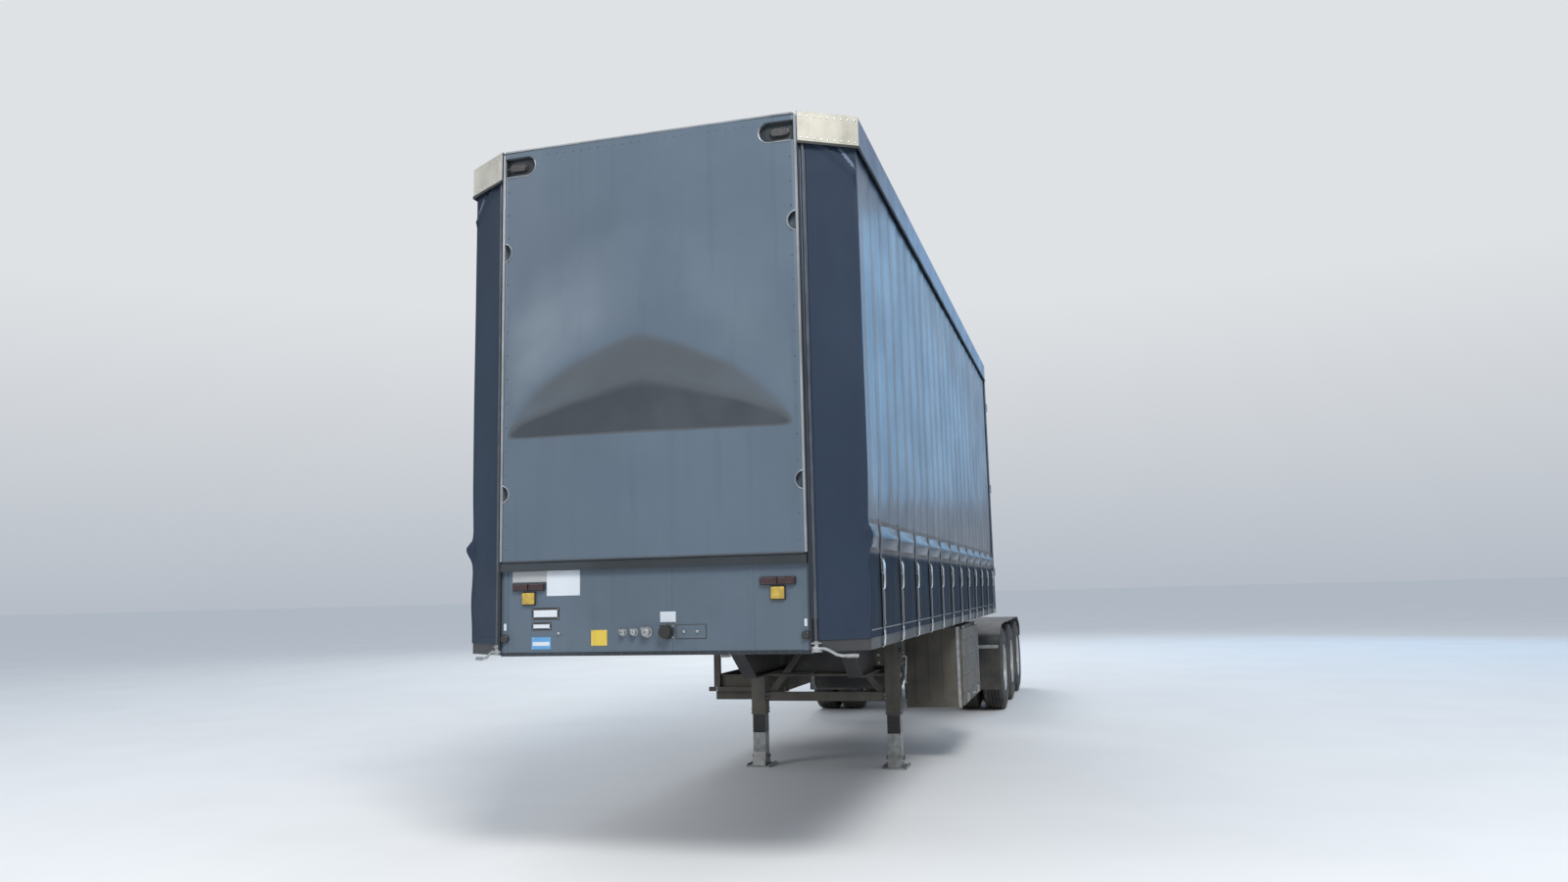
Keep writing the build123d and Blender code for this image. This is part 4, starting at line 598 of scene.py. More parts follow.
def panel_point(x, z):
    z = z - CREASE_TILT * x * math.exp(-(((z - CREASE_Z) / 0.15) ** 2))
    y = -dent_rise(x, z)
    inner = smooth((PANEL_HALF - abs(x)) / 0.12) * smooth((z - PANEL_LOW) / 0.15)
    y += inner * (0.0022 * wave(x, 3.0, z, 0.55) + 0.0008 * wave(x, 8.0, z, 0.16))
    y -= 0.004 * smooth((z - 3.6) / 0.5) * smooth((PANEL_HALF - abs(x)) / 0.3)
    for distance, radius in ((PANEL_HALF - abs(x), EDGE), (z - PANEL_LOW, 0.012), (PANEL_HIGH - z, 0.010)):
        if distance < radius:
            y += radius - math.sqrt(max(0.0, radius**2 - (radius - distance) ** 2))
    return (x, st(y), z)


def graded(low, high, step, edge, edge_step):
    """Numbers from low to high, closer together near both ends."""
    values = [low + edge_step * k for k in range(int(edge / edge_step) + 1)]
    inner_low, inner_high = low + edge, high - edge
    count = max(1, round((inner_high - inner_low) / step))
    values += [inner_low + (inner_high - inner_low) * k / count for k in range(1, count)]
    values += [high - edge_step * k for k in range(int(edge / edge_step), -1, -1)]
    return values


def grid_faces(wide, high):
    return [
        (r * wide + c, r * wide + c + 1, (r + 1) * wide + c + 1, (r + 1) * wide + c)
        for r in range(high - 1)
        for c in range(wide - 1)
    ]


def grid_border(wide, high):
    """The outer points of a grid, in order round it."""
    border = list(range(wide)) + [r * wide + wide - 1 for r in range(1, high)]
    border += [(high - 1) * wide + c for c in range(wide - 2, -1, -1)]
    return border + [r * wide for r in range(high - 2, 0, -1)]


def panel_sheet():
    """The dented sheet with its folded edges and its flat back."""
    columns = graded(-PANEL_HALF, PANEL_HALF, 0.0125, 0.028, 0.004)
    rows = graded(PANEL_LOW, PANEL_HIGH, 0.0125, 0.012, 0.003)
    wide = len(columns)
    points = [panel_point(x, z) for z in rows for x in columns]
    faces = grid_faces(wide, len(rows))
    border = grid_border(wide, len(rows))
    start = len(points)
    points += [(points[i][0], st(PANEL_BACK), points[i][2]) for i in border]
    for k in range(len(border)):
        n = (k + 1) % len(border)
        faces.append((border[k], border[n], start + n, start + k))
    faces.append(tuple(range(start, start + len(border))))
    panel = Shape()
    panel.add(points, faces)
    return panel.make("front_panel_sheet", ["panel_paint", "dark_trim"], None, angle=20)


# Lamp pockets in the panel's top corners and half-round notches in its edges
LAMP_LEVEL = 4.19
POCKET_REACH, POCKET_RADIUS, POCKET_DEPTH = 0.052, 0.058, 0.024
POCKET_X = 0.822
NOTCHES = ((3.655, 0.055), (2.185, 0.048))
RIM_RADIUS = 0.004


def pocket_outline(side, grow=0.0):
    """A pocket's inner end is round, its outer end runs out over the panel's edge."""
    radius = POCKET_RADIUS + grow
    centre = POCKET_X - POCKET_REACH
    inner_end = []
    for k in range(13):
        angle = math.pi / 2 + math.pi * k / 12
        inner_end.append((side * (centre + radius * math.cos(angle)), LAMP_LEVEL + radius * math.sin(angle)))
    outer = side * (PANEL_HALF + 0.01)
    return [(outer, LAMP_LEVEL + radius)] + inner_end + [(outer, LAMP_LEVEL - radius)]


def stadium(x, z, reach, radius, count=10):
    """An outline with two round ends."""
    outline = []
    for sign in (1, -1):
        for k in range(count + 1):
            angle = -sign * math.pi / 2 + math.pi * k / count
            outline.append((x + sign * reach + radius * math.cos(angle), z + radius * math.sin(angle)))
    return outline


def cut_away(piece, cutter):
    """The piece's mesh without the cutter's volume. Both objects go."""
    made = piece.modifiers.new("cut", "BOOLEAN")
    made.operation = "DIFFERENCE"
    made.solver = "EXACT"
    made.object = cutter
    mesh = applied(piece)
    for unwanted in (piece, cutter):
        bpy.data.objects.remove(unwanted, do_unlink=True)
    return mesh


def panel_cutters():
    cutters = Shape()
    for side in SIDES.values():
        cutters.prism(pocket_outline(side), "y", st(-0.05), st(POCKET_DEPTH))
        for level, radius in NOTCHES:
            circle = []
            for k in range(28):
                turn = 2 * math.pi * k / 28
                circle.append((side * PANEL_HALF + radius * math.cos(turn), level + radius * math.sin(turn)))
            cutters.prism(circle, "y", st(-0.05), st(0.06))
    return cutters.make("panel_cutters", ["dark_trim"], None)


def front_panel():
    mesh = cut_away(panel_sheet(), panel_cutters())
    for polygon in mesh.polygons:
        centre = polygon.center
        pocket_floor = st(POCKET_DEPTH - 0.0025) < centre.y < st(PANEL_BACK - 0.0005) and centre.z > 4.1
        polygon.material_index = 1 if pocket_floor else 0
    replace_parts(dress("front_panel_sheet", mesh), "front_panel")


def panel_rims():
    """Pale rims of the pockets and notches, paler also as a painted highlight, and rivets along the panel's
    sides and top.
    """
    rims = Shape()
    for side in SIDES.values():
        inner_end = [p for p in pocket_outline(side, RIM_RADIUS) if abs(p[0]) < PANEL_HALF]
        lower_end = (side * (PANEL_HALF - EDGE), LAMP_LEVEL - POCKET_RADIUS - RIM_RADIUS)
        rims.tube([(x, st(-0.002), z) for x, z in inner_end[4:] + [lower_end]], RIM_RADIUS, 8, 1)
        for level, radius in NOTCHES:
            path = []
            for k in range(15):
                angle = math.pi / 2 + math.pi * k / 14
                x = side * (PANEL_HALF + (radius + RIM_RADIUS) * math.cos(angle))
                fall = max(0.0, EDGE - (PANEL_HALF - abs(x)))
                depth = EDGE - math.sqrt(max(0.0, EDGE**2 - fall**2))
                path.append((x, st(depth - 0.001), level + (radius + RIM_RADIUS) * math.sin(angle)))
            rims.tube(path, RIM_RADIUS, 6, 1)
        for k in range(17):
            rims.rivet((side * (PANEL_HALF - 0.034), st(-0.001), 1.86 + 0.145 * k), "y", 0.005, sign=-1)
    for k in range(24):
        rims.rivet((-0.62 + 0.0539 * k, st(-0.004), PANEL_HIGH - 0.045), "y", 0.005, sign=-1)
    rims.make("panel_rims", ["panel_paint", "edge_metal_and_highlight"])


front_panel()
panel_rims()

# Lower front wall: plates, seams, lamps, couplings
WALL = st(PANEL_DEPTH)
WALL_LOW, WALL_HIGH = 1.262, 1.732
SEAM_X = 0.905
BAR_X = 0.752
COUPLING_Z = 1.372
AIR_COUPLINGS = (
    # x, radius, length
    (-0.160, 0.017, 0.034), (-0.092, 0.017, 0.034), (-0.016, 0.024, 0.042),
)
WHITE, GREY, BLACK, BLUE, YELLOW, STEEL, PAINT = range(7)
PLATES = (
    # left, right, low, high, material
    (-0.64, -0.43, 1.586, 1.731, WHITE),
    (-0.86, -0.64, 1.668, 1.731, GREY),
    (-0.735, -0.560, 1.452, 1.520, BLACK),
    (-0.735, -0.610, 1.392, 1.436, BLACK),
    (-0.735, -0.613, 1.283, 1.352, BLUE),
    (-0.360, -0.262, 1.300, 1.388, YELLOW),
)
PLAIN_PLATES = (
    # left, right, low, high, material, thickness
    (0.062, 0.155, 1.426, 1.484, WHITE, 0.0025),
    (0.155, 0.335, 1.332, 1.412, BLACK, 0.002),
    (0.159, 0.331, 1.336, 1.408, PAINT, 0.003),
    (-0.722, -0.573, 1.466, 1.506, WHITE, 0.003),
    (-0.724, -0.621, 1.403, 1.425, WHITE, 0.003),
    (-0.728, -0.620, 1.303, 1.325, WHITE, 0.003),
    (SEAM_X - 0.008, SEAM_X + 0.008, 1.392, 1.432, WHITE, 0.006),
    (-SEAM_X - 0.008, -SEAM_X + 0.008, 1.392, 1.432, WHITE, 0.006),
)


def wall_box(shape, low_x, high_x, low_z, high_z, thick, index, depth=0.001):
    """A box on the lower wall, standing out by thick and reaching in by depth."""
    shape.box((low_x, WALL - thick, low_z), (high_x, WALL + depth, high_z), index)


def front_plates():
    """Blank plates with rivets at their corners, stickers, and two knobs on the seams."""
    plates = Shape()
    for low_x, high_x, low_z, high_z, index in PLATES:
        wall_box(plates, low_x, high_x, low_z, high_z, 0.0025, index)
        for x in (low_x + 0.008, high_x - 0.008):
            for z in (low_z + 0.008, high_z - 0.008):
                plates.rivet((x, WALL - 0.0025, z), "y", 0.003, STEEL, -1)
    for low_x, high_x, low_z, high_z, index, thick in PLAIN_PLATES:
        wall_box(plates, low_x, high_x, low_z, high_z, thick, index)
    knob = [(0.024, 0), (0.024, -0.018), (0.017, -0.026), (0, -0.026)]
    for side in SIDES.values():
        plates.lathe(knob, (side * SEAM_X, WALL, 1.345), "y", 16, BLACK)
    finishes = ["plate_white", "plate_grey", "plate_black", "plate_blue", "plate_yellow"]
    plates.make("front_plates", finishes + ["buckle_steel", "wall_paint"], bevel=0.0008)


def front_seams():
    """Covered joints of the wall's sheets and its folded lower edge, riveted."""
    seams = Shape()
    for x in (0.12, 0.60):
        wall_box(seams, x - 0.013, x + 0.013, WALL_LOW, WALL_HIGH, 0.0018, 0)
    for side in SIDES.values():
        x = side * SEAM_X
        wall_box(seams, x - 0.014, x + 0.014, WALL_LOW, WALL_HIGH, 0.003, 0)
        for k in range(7):
            seams.rivet((x, WALL - 0.003, 1.29 + 0.07 * k), "y", 0.0045, 0, -1)
    low_edge = ((WALL - 0.006, 1.246), (WALL - 0.006, 1.262), (WALL - 0.001, 1.266), (WALL + 0.002, 1.246))
    seams.prism(low_edge, "x", -0.93, 0.93, 1)
    for k in range(31):
        seams.rivet((-0.87 + 0.058 * k, WALL - 0.006, 1.254), "y", 0.003, 0, -1)
    seams.make("front_seams", ["wall_paint", "dark_trim"], bevel=0.0006)


def lamp_pieces():
    """Corner lamps in the pockets, bars with amber lamps on the wall, tail lamps in threes."""
    amber, red, clear, seal, dark_red = range(5)
    lamps = Shape()
    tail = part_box("lamps")[1].y
    for side in SIDES.values():
        x = side * (POCKET_X + 0.01)
        lamps.prism(stadium(x, LAMP_LEVEL, 0.034, 0.030, 8), "y", st(0.0235), st(0.017), seal)
        lamps.prism(stadium(x, LAMP_LEVEL, 0.031, 0.024, 8), "y", st(0.018), st(0.006), clear)
        x = side * BAR_X
        wall_box(lamps, x - 0.104, x + 0.104, 1.618, 1.662, 0.010, seal)
        wall_box(lamps, x - 0.098, x - 0.004, 1.622, 1.658, 0.023, dark_red, -0.009)
        wall_box(lamps, x + 0.004, x + 0.098, 1.622, 1.658, 0.023, dark_red, -0.009)
        wall_box(lamps, x - 0.044, x + 0.044, 1.536, 1.612, 0.008, seal)
        wall_box(lamps, x - 0.038, x + 0.038, 1.541, 1.607, 0.020, amber, -0.007)
        x = side * 0.380
        lamps.box((x - 0.130, tail - 0.030, 0.9375), (x + 0.130, tail - 0.014, 1.0275), seal)
        for k, index in enumerate((red, amber, red)):
            left = x - 0.124 + 0.0835 * k
            lamps.box((left, tail - 0.016, 0.9425), (left + 0.081, tail - 0.001, 1.0225), index)
    piece = lamps.make("lamp_set", ["amber", "red", "clear", "rubber_seal", "dark_red"], bevel=0.003)
    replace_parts(piece, "lamps")


def service_couplings():
    """Two small and one large air coupling, an electric socket with its cap and screws, studs."""
    couplings = Shape()
    for x, radius, length in AIR_COUPLINGS:
        profile = [
            (radius * 1.25, 0.0), (radius * 1.25, -0.006), (radius * 0.75, -0.008),
            (radius * 0.75, -length * 0.45), (radius, -length * 0.5), (radius, -length * 0.85),
            (radius * 0.8, -length), (radius * 0.35, -length), (radius * 0.3, -length * 0.8),
            (0, -length * 0.8),
        ]
        couplings.lathe(profile, (x, WALL, COUPLING_Z), "y", 20, 0)
        low_z, high_z = COUPLING_Z + radius * 0.5, COUPLING_Z + radius * 1.15
        left, right = x - radius * 1.2, x + radius * 0.4
        wall_box(couplings, left, right, low_z, high_z, length * 0.75, 0, -length * 0.55)
    socket = [
        (0.040, 0), (0.040, -0.010), (0.033, -0.012), (0.033, -0.044), (0.036, -0.046), (0.036, -0.051),
        (0, -0.052),
    ]
    couplings.lathe(socket, (0.104, WALL, COUPLING_Z), "y", 24, 1)
    wall_box(couplings, 0.078, 0.130, 1.400, 1.411, 0.051, 1, -0.034)
    for x in (0.072, 0.136):
        for z in (1.342, 1.402):
            couplings.bolt((x, WALL, z), "y", 0.005, 0.005, 0, -1)
    stud = [(0.008, 0), (0.008, -0.012), (0.004, -0.014), (0, -0.014)]
    for x in (-0.56, 0.205, 0.285):
        couplings.lathe(stud, (x, WALL, COUPLING_Z), "y", 12, 0)
    piece = couplings.make("service_fittings", ["galvanised_steel", "rubber_seal"], bevel=0.001)
    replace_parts(piece, "service_couplings")


front_plates()
front_seams()
lamp_pieces()
service_couplings()

# Corner caps, coaming trim and the edge strips of the panel
CAP_LOW, CAP_HIGH = 4.112, 4.299
COAMING_END = 7.93


def corner(inset, start):
    """First and second plan points of the slanting corner, moved inwards by inset."""
    reach = (start + SLANT_Y * inset) / SLANT_X
    first = (FLAT_HALF + start, SLANT_X * inset + SLANT_Y * reach)
    side_x = HALF_WIDTH - inset
    turn = (side_x - FLAT_HALF + SLANT_Y * inset) / SLANT_X
    return first, (side_x, SLANT_X * inset + SLANT_Y * turn)


def along(path, distance):
    """Point, direction and outward normal at a distance along a plan path (x, d)."""
    for k in range(len(path) - 1):
        a, b = Vector(path[k]), Vector(path[k + 1])
        length = (b - a).length
        if distance <= length or k == len(path) - 2:
            direction = (b - a) / length
            return a + direction * distance, direction, Vector((direction.y, -direction.x))
        distance -= length


def plan_prism(shape, side, outline, low, high, index):
    """A plan outline of (x, d) pairs carried upwards on one side of the trailer."""
    shape.prism([(side * x, st(d)) for x, d in outline], "z", low, high, index)


def slant_rivet(shape, side, spot, direction, normal, z, index):
    """A rivet on the slanting face."""
    size = 0.006
    turn = Matrix.Rotation(math.atan2(direction.y, direction.x), 3, "Z")
    ring = []
    for rise, radius in ((0, size), (0.002, size * 0.8), (0.003, size * 0.3)):
        for m in range(8):
            angle = 2 * math.pi * m / 8
            local = turn @ Vector((radius * math.cos(angle), 0, radius * math.sin(angle)))
            point = Vector((spot.x, spot.y, z)) + local + Vector((normal.x, normal.y, 0)) * rise
            ring.append((side * point.x, st(point.y), point.z))
    faces = []
    for a in (0, 8):
        for b in range(8):
            n = (b + 1) % 8
            faces.append((a + b, a + n, a + 8 + n, a + 8 + b))
    faces.append(tuple(range(16, 24)))
    shape.add(ring, faces, index)


def corner_caps():
    cap, lip, rivet, seal, strip = range(5)
    caps = Shape()
    for side in SIDES.values():
        first, turn = corner(-0.002, 0.004)
        inner_first, inner_turn = corner(0.001, 0.004)
        end = turn[1] + 0.015
        outline = [first, turn, (turn[0], end), (inner_turn[0], end), inner_turn, inner_first]
        plan_prism(caps, side, outline, CAP_LOW, CAP_HIGH, cap)
        lip_first, lip_turn = corner(-0.006, 0.004)
        ends = [(lip_turn[0], COAMING_END), (inner_turn[0], COAMING_END)]
        plan_prism(caps, side, [lip_first, lip_turn, *ends, inner_turn, inner_first], 4.106, 4.122, lip)
        length = (Vector(turn) - Vector(first)).length
        for k in range(9):
            spot, direction, normal = along([first, turn], 0.02 + (length - 0.04) * k / 8)
            for z in (4.272, 4.140):
                slant_rivet(caps, side, spot, direction, normal, z, rivet)
        for k in range(48):
            caps.rivet((side * HALF_WIDTH, st(0.30 + 0.16 * k), 4.272), "x", 0.0045, rivet, side)
        x = side * FLAT_HALF
        caps.box((x - 0.004, st(0.012), 1.28), (x + 0.004, st(0.036), 4.28), seal)
        # Pale strips on the panel's side edges and, below, along its top: pale metal, partly a painted
        # highlight of the rounded edges.
        x = side * (PANEL_HALF - 0.002)
        caps.box((x - 0.007, st(0.002), 1.79), (x + 0.007, st(0.034), 4.28), strip)
    caps.box((-0.914, st(-0.007), 4.284), (0.914, st(0.034), 4.294), strip)
    finishes = ["cap_metal", "rubber_seal", "buckle_steel", "dark_trim", "edge_metal_and_highlight"]
    caps.make("corner_caps", finishes, bevel=0.0015)


corner_caps()

# Side curtains: cloth from the front corner along the side, drawn tight by straps
CURTAIN_LOW, CURTAIN_HIGH, CURTAIN_END = 1.315, 4.2597, 7.913
STRAPS = [0.560 + 0.654 * k for k in range(12)]
WELD_START, WELD_PITCH, WELD_COUNT = 0.233, 0.327, 24
BILLOW_Z = 1.88
curtain_first, curtain_turn = corner(0.0215, 0.0335)
curtain_path = [curtain_first, curtain_turn, (curtain_turn[0], CURTAIN_END)]
slant = (Vector(curtain_turn) - Vector(curtain_first)).length
curtain_run = slant + CURTAIN_END - curtain_turn[1]
straight = curtain_run - slant


def hill(value, width):
    """A soft hump, 1 at 0."""
    return math.exp(-((value / width) ** 2))


def corner_folds(run, z, shift):
    """Creases at the top of the slanting corner and slight waves below."""
    out = 0.0025 * wave(run, shift, z, 0.22) + 0.0012 * wave(run, shift, z, 0.07)
    high = smooth((z - 3.75) / 0.4)
    for offset, slope, depth in ((0.05, 1.15, 0.017), (0.13, 0.9, 0.014), (0.24, 1.4, 0.010)):
        line = (4.22 - z) * slope - (run - 0.02) + offset - 0.08
        out += high * depth * (hill(line, 0.022) - 0.6 * hill(line + 0.035, 0.03))
    out += 0.004 * hill(z - 1.45 - 0.3 * run, 0.05) * smooth(run / 0.1)
    return out * smooth(run / 0.03)


def side_folds(d, z, shift):
    """Upright waves and welds, and between the straps a billow above the buckles."""
    between = smooth(min(abs(d - s) for s in STRAPS) / 0.30)
    out = 0.0030 * wave(d, shift, z, 0.9) + 0.0018 * wave(d * 2.2, shift, z * 0.5, 0.35)
    sway = 1.1 * wave(d, shift, 0, 1.2)
    out += 0.0030 * smooth((z - 3.3) / 0.8) * math.sin(2 * math.pi * d / WELD_PITCH + sway)
    billow = 0.006 + between * (0.034 + 0.007 * wave(d, shift, 2.0, 0.5))
    out += billow * hill(z - BILLOW_Z, 0.040 if z > BILLOW_Z else 0.062)
    out += between * 0.008 * hill(z - 1.56, 0.12)
    out -= (1 - between) * 0.003 * smooth((2.3 - z) / 0.4)
    out += between * 0.004 * smooth((z - 1.9) / 0.3) * (1 - smooth((z - 2.3) / 1.2))
    near = (d - WELD_START + WELD_PITCH / 2) % WELD_PITCH - WELD_PITCH / 2
    out += 0.0022 * hill(near, 0.008)
    out += 0.0035 * smooth((z - 2.0) / 0.3) * math.cos(2 * math.pi * (d - WELD_START) / WELD_PITCH)
    return out


def curtain_out(run, z, side):
    """How far the cloth stands out of its plane."""
    shift = 11.0 if side > 0 else 47.0
    if run < slant:
        return corner_folds(run, z, shift)
    return side_folds(curtain_turn[1] + run - slant, z, shift)


def curtain_heights():
    heights = [CURTAIN_LOW]
    while heights[-1] < CURTAIN_HIGH:
        z = heights[-1]
        heights.append(min(CURTAIN_HIGH, z + (0.022 if z < 2.1 or z > 3.9 else 0.055)))
    return heights


def curtain_runs():
    """Places along the curtain, closer together at the welds."""
    places = {round(straight * k / 260, 4) for k in range(261)}
    for k in range(WELD_COUNT):
        weld = WELD_START + WELD_PITCH * k
        for shift in (-0.018, -0.010, -0.005, 0.0, 0.005, 0.010, 0.018):
            place = weld + shift - curtain_turn[1]
            if 0.02 < place < straight - 0.02:
                places.add(round(place, 4))
    return [slant * k / 24 for k in range(24)] + [slant + place for place in sorted(places)]


def curtain(side_name, side, heights, runs):
    """One side's cloth, a grid of places along it and up it."""
    sheet = Shape()
    points = []
    for z in heights:
        for run in runs:
            spot, direction, normal = along(curtain_path, run)
            if abs(run - slant) < 0.012:
                normal = Vector((SLANT_Y + 1, -SLANT_X)).normalized()
            spot = spot + normal * curtain_out(run, z, side)
            points.append((side * spot.x, st(spot.y), z))
    sheet.add(points, grid_faces(len(runs), len(heights)))
    piece = sheet.make(f"curtain_sheet_{side_name}", ["curtain_fabric"], angle=40)
    thick = piece.modifiers.new("cloth", "SOLIDIFY")
    thick.thickness = 0.0012
    thick.offset = 0.0
    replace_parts(piece, f"curtain_{side_name}")


def curtain_face(side, run, z, lift):
    """A place on the cloth's outer face, lifted off it."""
    spot, direction, normal = along(curtain_path, run)
    spot = spot + normal * (curtain_out(run, z, side) + lift)
    return (side * spot.x, st(spot.y), z)


def cloth_band(shape, side, run_low, run_high, z_low, z_high, lift, thick, index, cells_x, cells_z):
    """A flat band that lies on the cloth, with thickness."""
    wide, high = cells_x + 1, cells_z + 1
    points = []
    for rise in (lift, lift + thick):
        for j in range(high):
            z = z_low + (z_high - z_low) * j / cells_z
            for i in range(wide):
                points.append(curtain_face(side, run_low + (run_high - run_low) * i / cells_x, z, rise))
    n = wide * high
    faces = []
    for face in grid_faces(wide, high):
        faces += [face, tuple(n + corner_point for corner_point in face)]
    edge = grid_border(wide, high)
    for k in range(len(edge)):
        m = (k + 1) % len(edge)
        faces.append((edge[k], edge[m], n + edge[m], n + edge[k]))
    shape.add(points, faces, index)


def curtain_hems():
    """Hem, its pale edge, the weld at the corner and two bands under the strap tops."""
    fabric, pale, dark = range(3)
    side_start, side_end = slant + 0.004, curtain_run - 0.01
    hems = Shape()
    for side in SIDES.values():
        cloth_band(hems, side, 0.002, slant - 0.004, 1.316, 1.352, 0.0008, 0.0016, fabric, 12, 2)
        cloth_band(hems, side, side_start, side_end, 1.316, 1.356, 0.0008, 0.0016, fabric, 300, 2)
        cloth_band(hems, side, side_start, side_end, 1.356, 1.361, 0.0008, 0.0022, pale, 300, 1)
        cloth_band(hems, side, slant - 0.010, slant + 0.014, 1.36, 4.24, 0.0008, 0.0010, fabric, 4, 60)
        for low, high in ((1.948, 1.975), (1.788, 1.812)):
            cloth_band(hems, side, side_start, side_end, low, high, 0.0006, 0.0012, dark, 380, 2)
    hems.make("curtain_hems", ["curtain_fabric", "hem_edge", "strap_webbing"], angle=50)


heights = curtain_heights()
runs = curtain_runs()
for side_name, side in SIDES.items():
    curtain(side_name, side, heights, runs)
curtain_hems()

# Straps: webbing on the cloth, an over-centre buckle, the lower strap, its tail and the hook
STRAP_FACE = 1.2303
STRAP_HALF = 0.025


def doubled(path, off_x, off_z=0.0):
    """A strip's outline: a path and, back again, the same path moved aside."""
    return list(path) + [(x + off_x, z + off_z) for x, z in reversed(path)]


def strap_prism(shape, side, outline, low, high, index):
    """An outline of (distance off the curtain's plane, z) carried along the trailer."""
    shape.prism([(side * (STRAP_FACE + off), z) for off, z in outline], "y", low, high, index)


SIDE_PLATE = (
    (0.002, 1.758), (0.010, 1.762), (0.0185, 1.728), (0.0190, 1.690), (0.015, 1.668), (0.006, 1.664),
    (0.002, 1.680),
)
LEVER = (
    (0.012, 1.742), (0.0195, 1.730), (0.0200, 1.640), (0.0165, 1.590), (0.010, 1.578), (0.0085, 1.584),
    (0.0145, 1.596), (0.0175, 1.640), (0.0165, 1.722), (0.010, 1.734),
)
LOWER_STRAP = ((0.007, 1.672), (0.005, 1.60), (0.004, 1.46), (0.004, 1.345), (0.0035, 1.335))
HOOK = ((0.0055, 1.345), (0.0065, 1.30), (0.002, 1.262), (-0.010, 1.250), (-0.013, 1.262))


def strap(webs, metal, side, station):
    dark, pale = range(2)
    run = slant + station - curtain_turn[1]
    y = st(station)
    cloth_band(webs, side, run - 0.036, run + 0.036, 1.885, 1.985, 0.0008, 0.0018, dark, 2, 6)
    cloth_band(webs, side, run - STRAP_HALF, run + STRAP_HALF, 1.735, 1.955, 0.0028, 0.0022, dark, 2, 10)
    for offset in (-0.032, 0.029):
        strap_prism(metal, side, SIDE_PLATE, y + offset, y + offset + 0.003, 0)
    strap_prism(metal, side, LEVER, y - 0.027, y + 0.027, 0)
    pin_x = side * (STRAP_FACE + 0.009)
    for z in (1.745, 1.700, 1.672):
        metal.tube([(pin_x, y - 0.031, z), (pin_x, y + 0.031, z)], 0.0045, 8)
    strap_prism(webs, side, doubled(LOWER_STRAP, 0.0025), y - STRAP_HALF, y + STRAP_HALF, pale)
    sway = 0.010 * wave(station, side * 3.0, 0.0, 0.4)
    tail = [(0.0095, 1.575), (0.0105, 1.50), (0.0085, 1.42), (0.011, 1.372 + sway)]
    low, high = y - STRAP_HALF + sway, y + STRAP_HALF - 0.004 + sway
    strap_prism(webs, side, doubled(tail, 0.002), low, high, pale)
    strap_prism(metal, side, doubled(HOOK, 0.003, -0.002), y - 0.022, y + 0.022, 0)
    bar_x = side * (STRAP_FACE + 0.006)
    metal.tube([(bar_x, y - 0.029, 1.340), (bar_x, y + 0.029, 1.340)], 0.004, 8)


def straps():
    webs = Shape()
    metal = Shape()
    for side in SIDES.values():
        for station in STRAPS:
            strap(webs, metal, side, station)
    web_piece = webs.make("strap_webs", ["strap_webbing", "strap_pale"], bevel=0.0006, segments=1)
    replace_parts(web_piece, "curtain_straps")
    metal_piece = metal.make("strap_metal", ["buckle_steel"], bevel=0.0007, segments=1)
    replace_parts(metal_piece, "strap_buckles")


straps()

# Curtain poles, ratchets and the tensioning levers at the front
POLE_RADIUS = 0.0095
REAR_POLE = (1.2338, 7.9285)
RATCHET = (
    (0.0, -0.040), (0.0175, -0.040), (0.0175, -0.012), (0.0145, -0.008), (0.0145, 0.006), (0.0175, 0.010),
    (0.0175, 0.018), (0.0, 0.018),
)
LEVER_PATH = ((0.012, 1.272), (0.075, 1.271), (0.10, 1.262), (0.145, 1.236), (0.175, 1.229), (0.262, 1.226))
GRIP_PATH = ((0.20, 1.2275), (0.262, 1.226), (0.268, 1.2262))


def lever_place(side, first, run, z):
    """A place before the slanting face, run along it from its first point."""
    off = 0.006
    x = first[0] + SLANT_X * run - SLANT_Y * off
    return (side * x, st(first[1] + SLANT_Y * run + SLANT_X * off), z)


def curtain_bars():
    bars = Shape()
    for side in SIDES.values():
        for x, d in (corner(0.0162, 0.022)[0], REAR_POLE):
            bars.tube([(side * x, st(d), 1.30), (side * x, st(d), CURTAIN_HIGH)], POLE_RADIUS, 14, 1)
            bars.lathe(RATCHET, (side * min(x, 1.2325), st(d + 0.003), 1.292), "z", 16)
        first = corner(0.004, 0.004)[0]
        inner = corner(0.0225, 0.004)[0]
        reach = (SLANT_X * 0.056, SLANT_Y * 0.056)
        far = [(x + reach[0], d + reach[1]) for x, d in (first, inner)]
        for low, high in ((1.253, 1.262), (1.296, 1.303)):
            plan_prism(bars, side, [first, *far, inner], low, high, 0)
        bars.tube([lever_place(side, first, run, z) for run, z in LEVER_PATH], 0.0085, 10)
        bars.tube([lever_place(side, first, run, z) for run, z in GRIP_PATH], 0.0105, 12)
        bars.tube([lever_place(side, first, run, 1.272) for run in (0.004, 0.03)], 0.013, 12)
    piece = bars.make("curtain_bars", ["galvanised_steel", "pole_metal"], bevel=0.0008)
    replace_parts(piece, "curtain_poles")


curtain_bars()

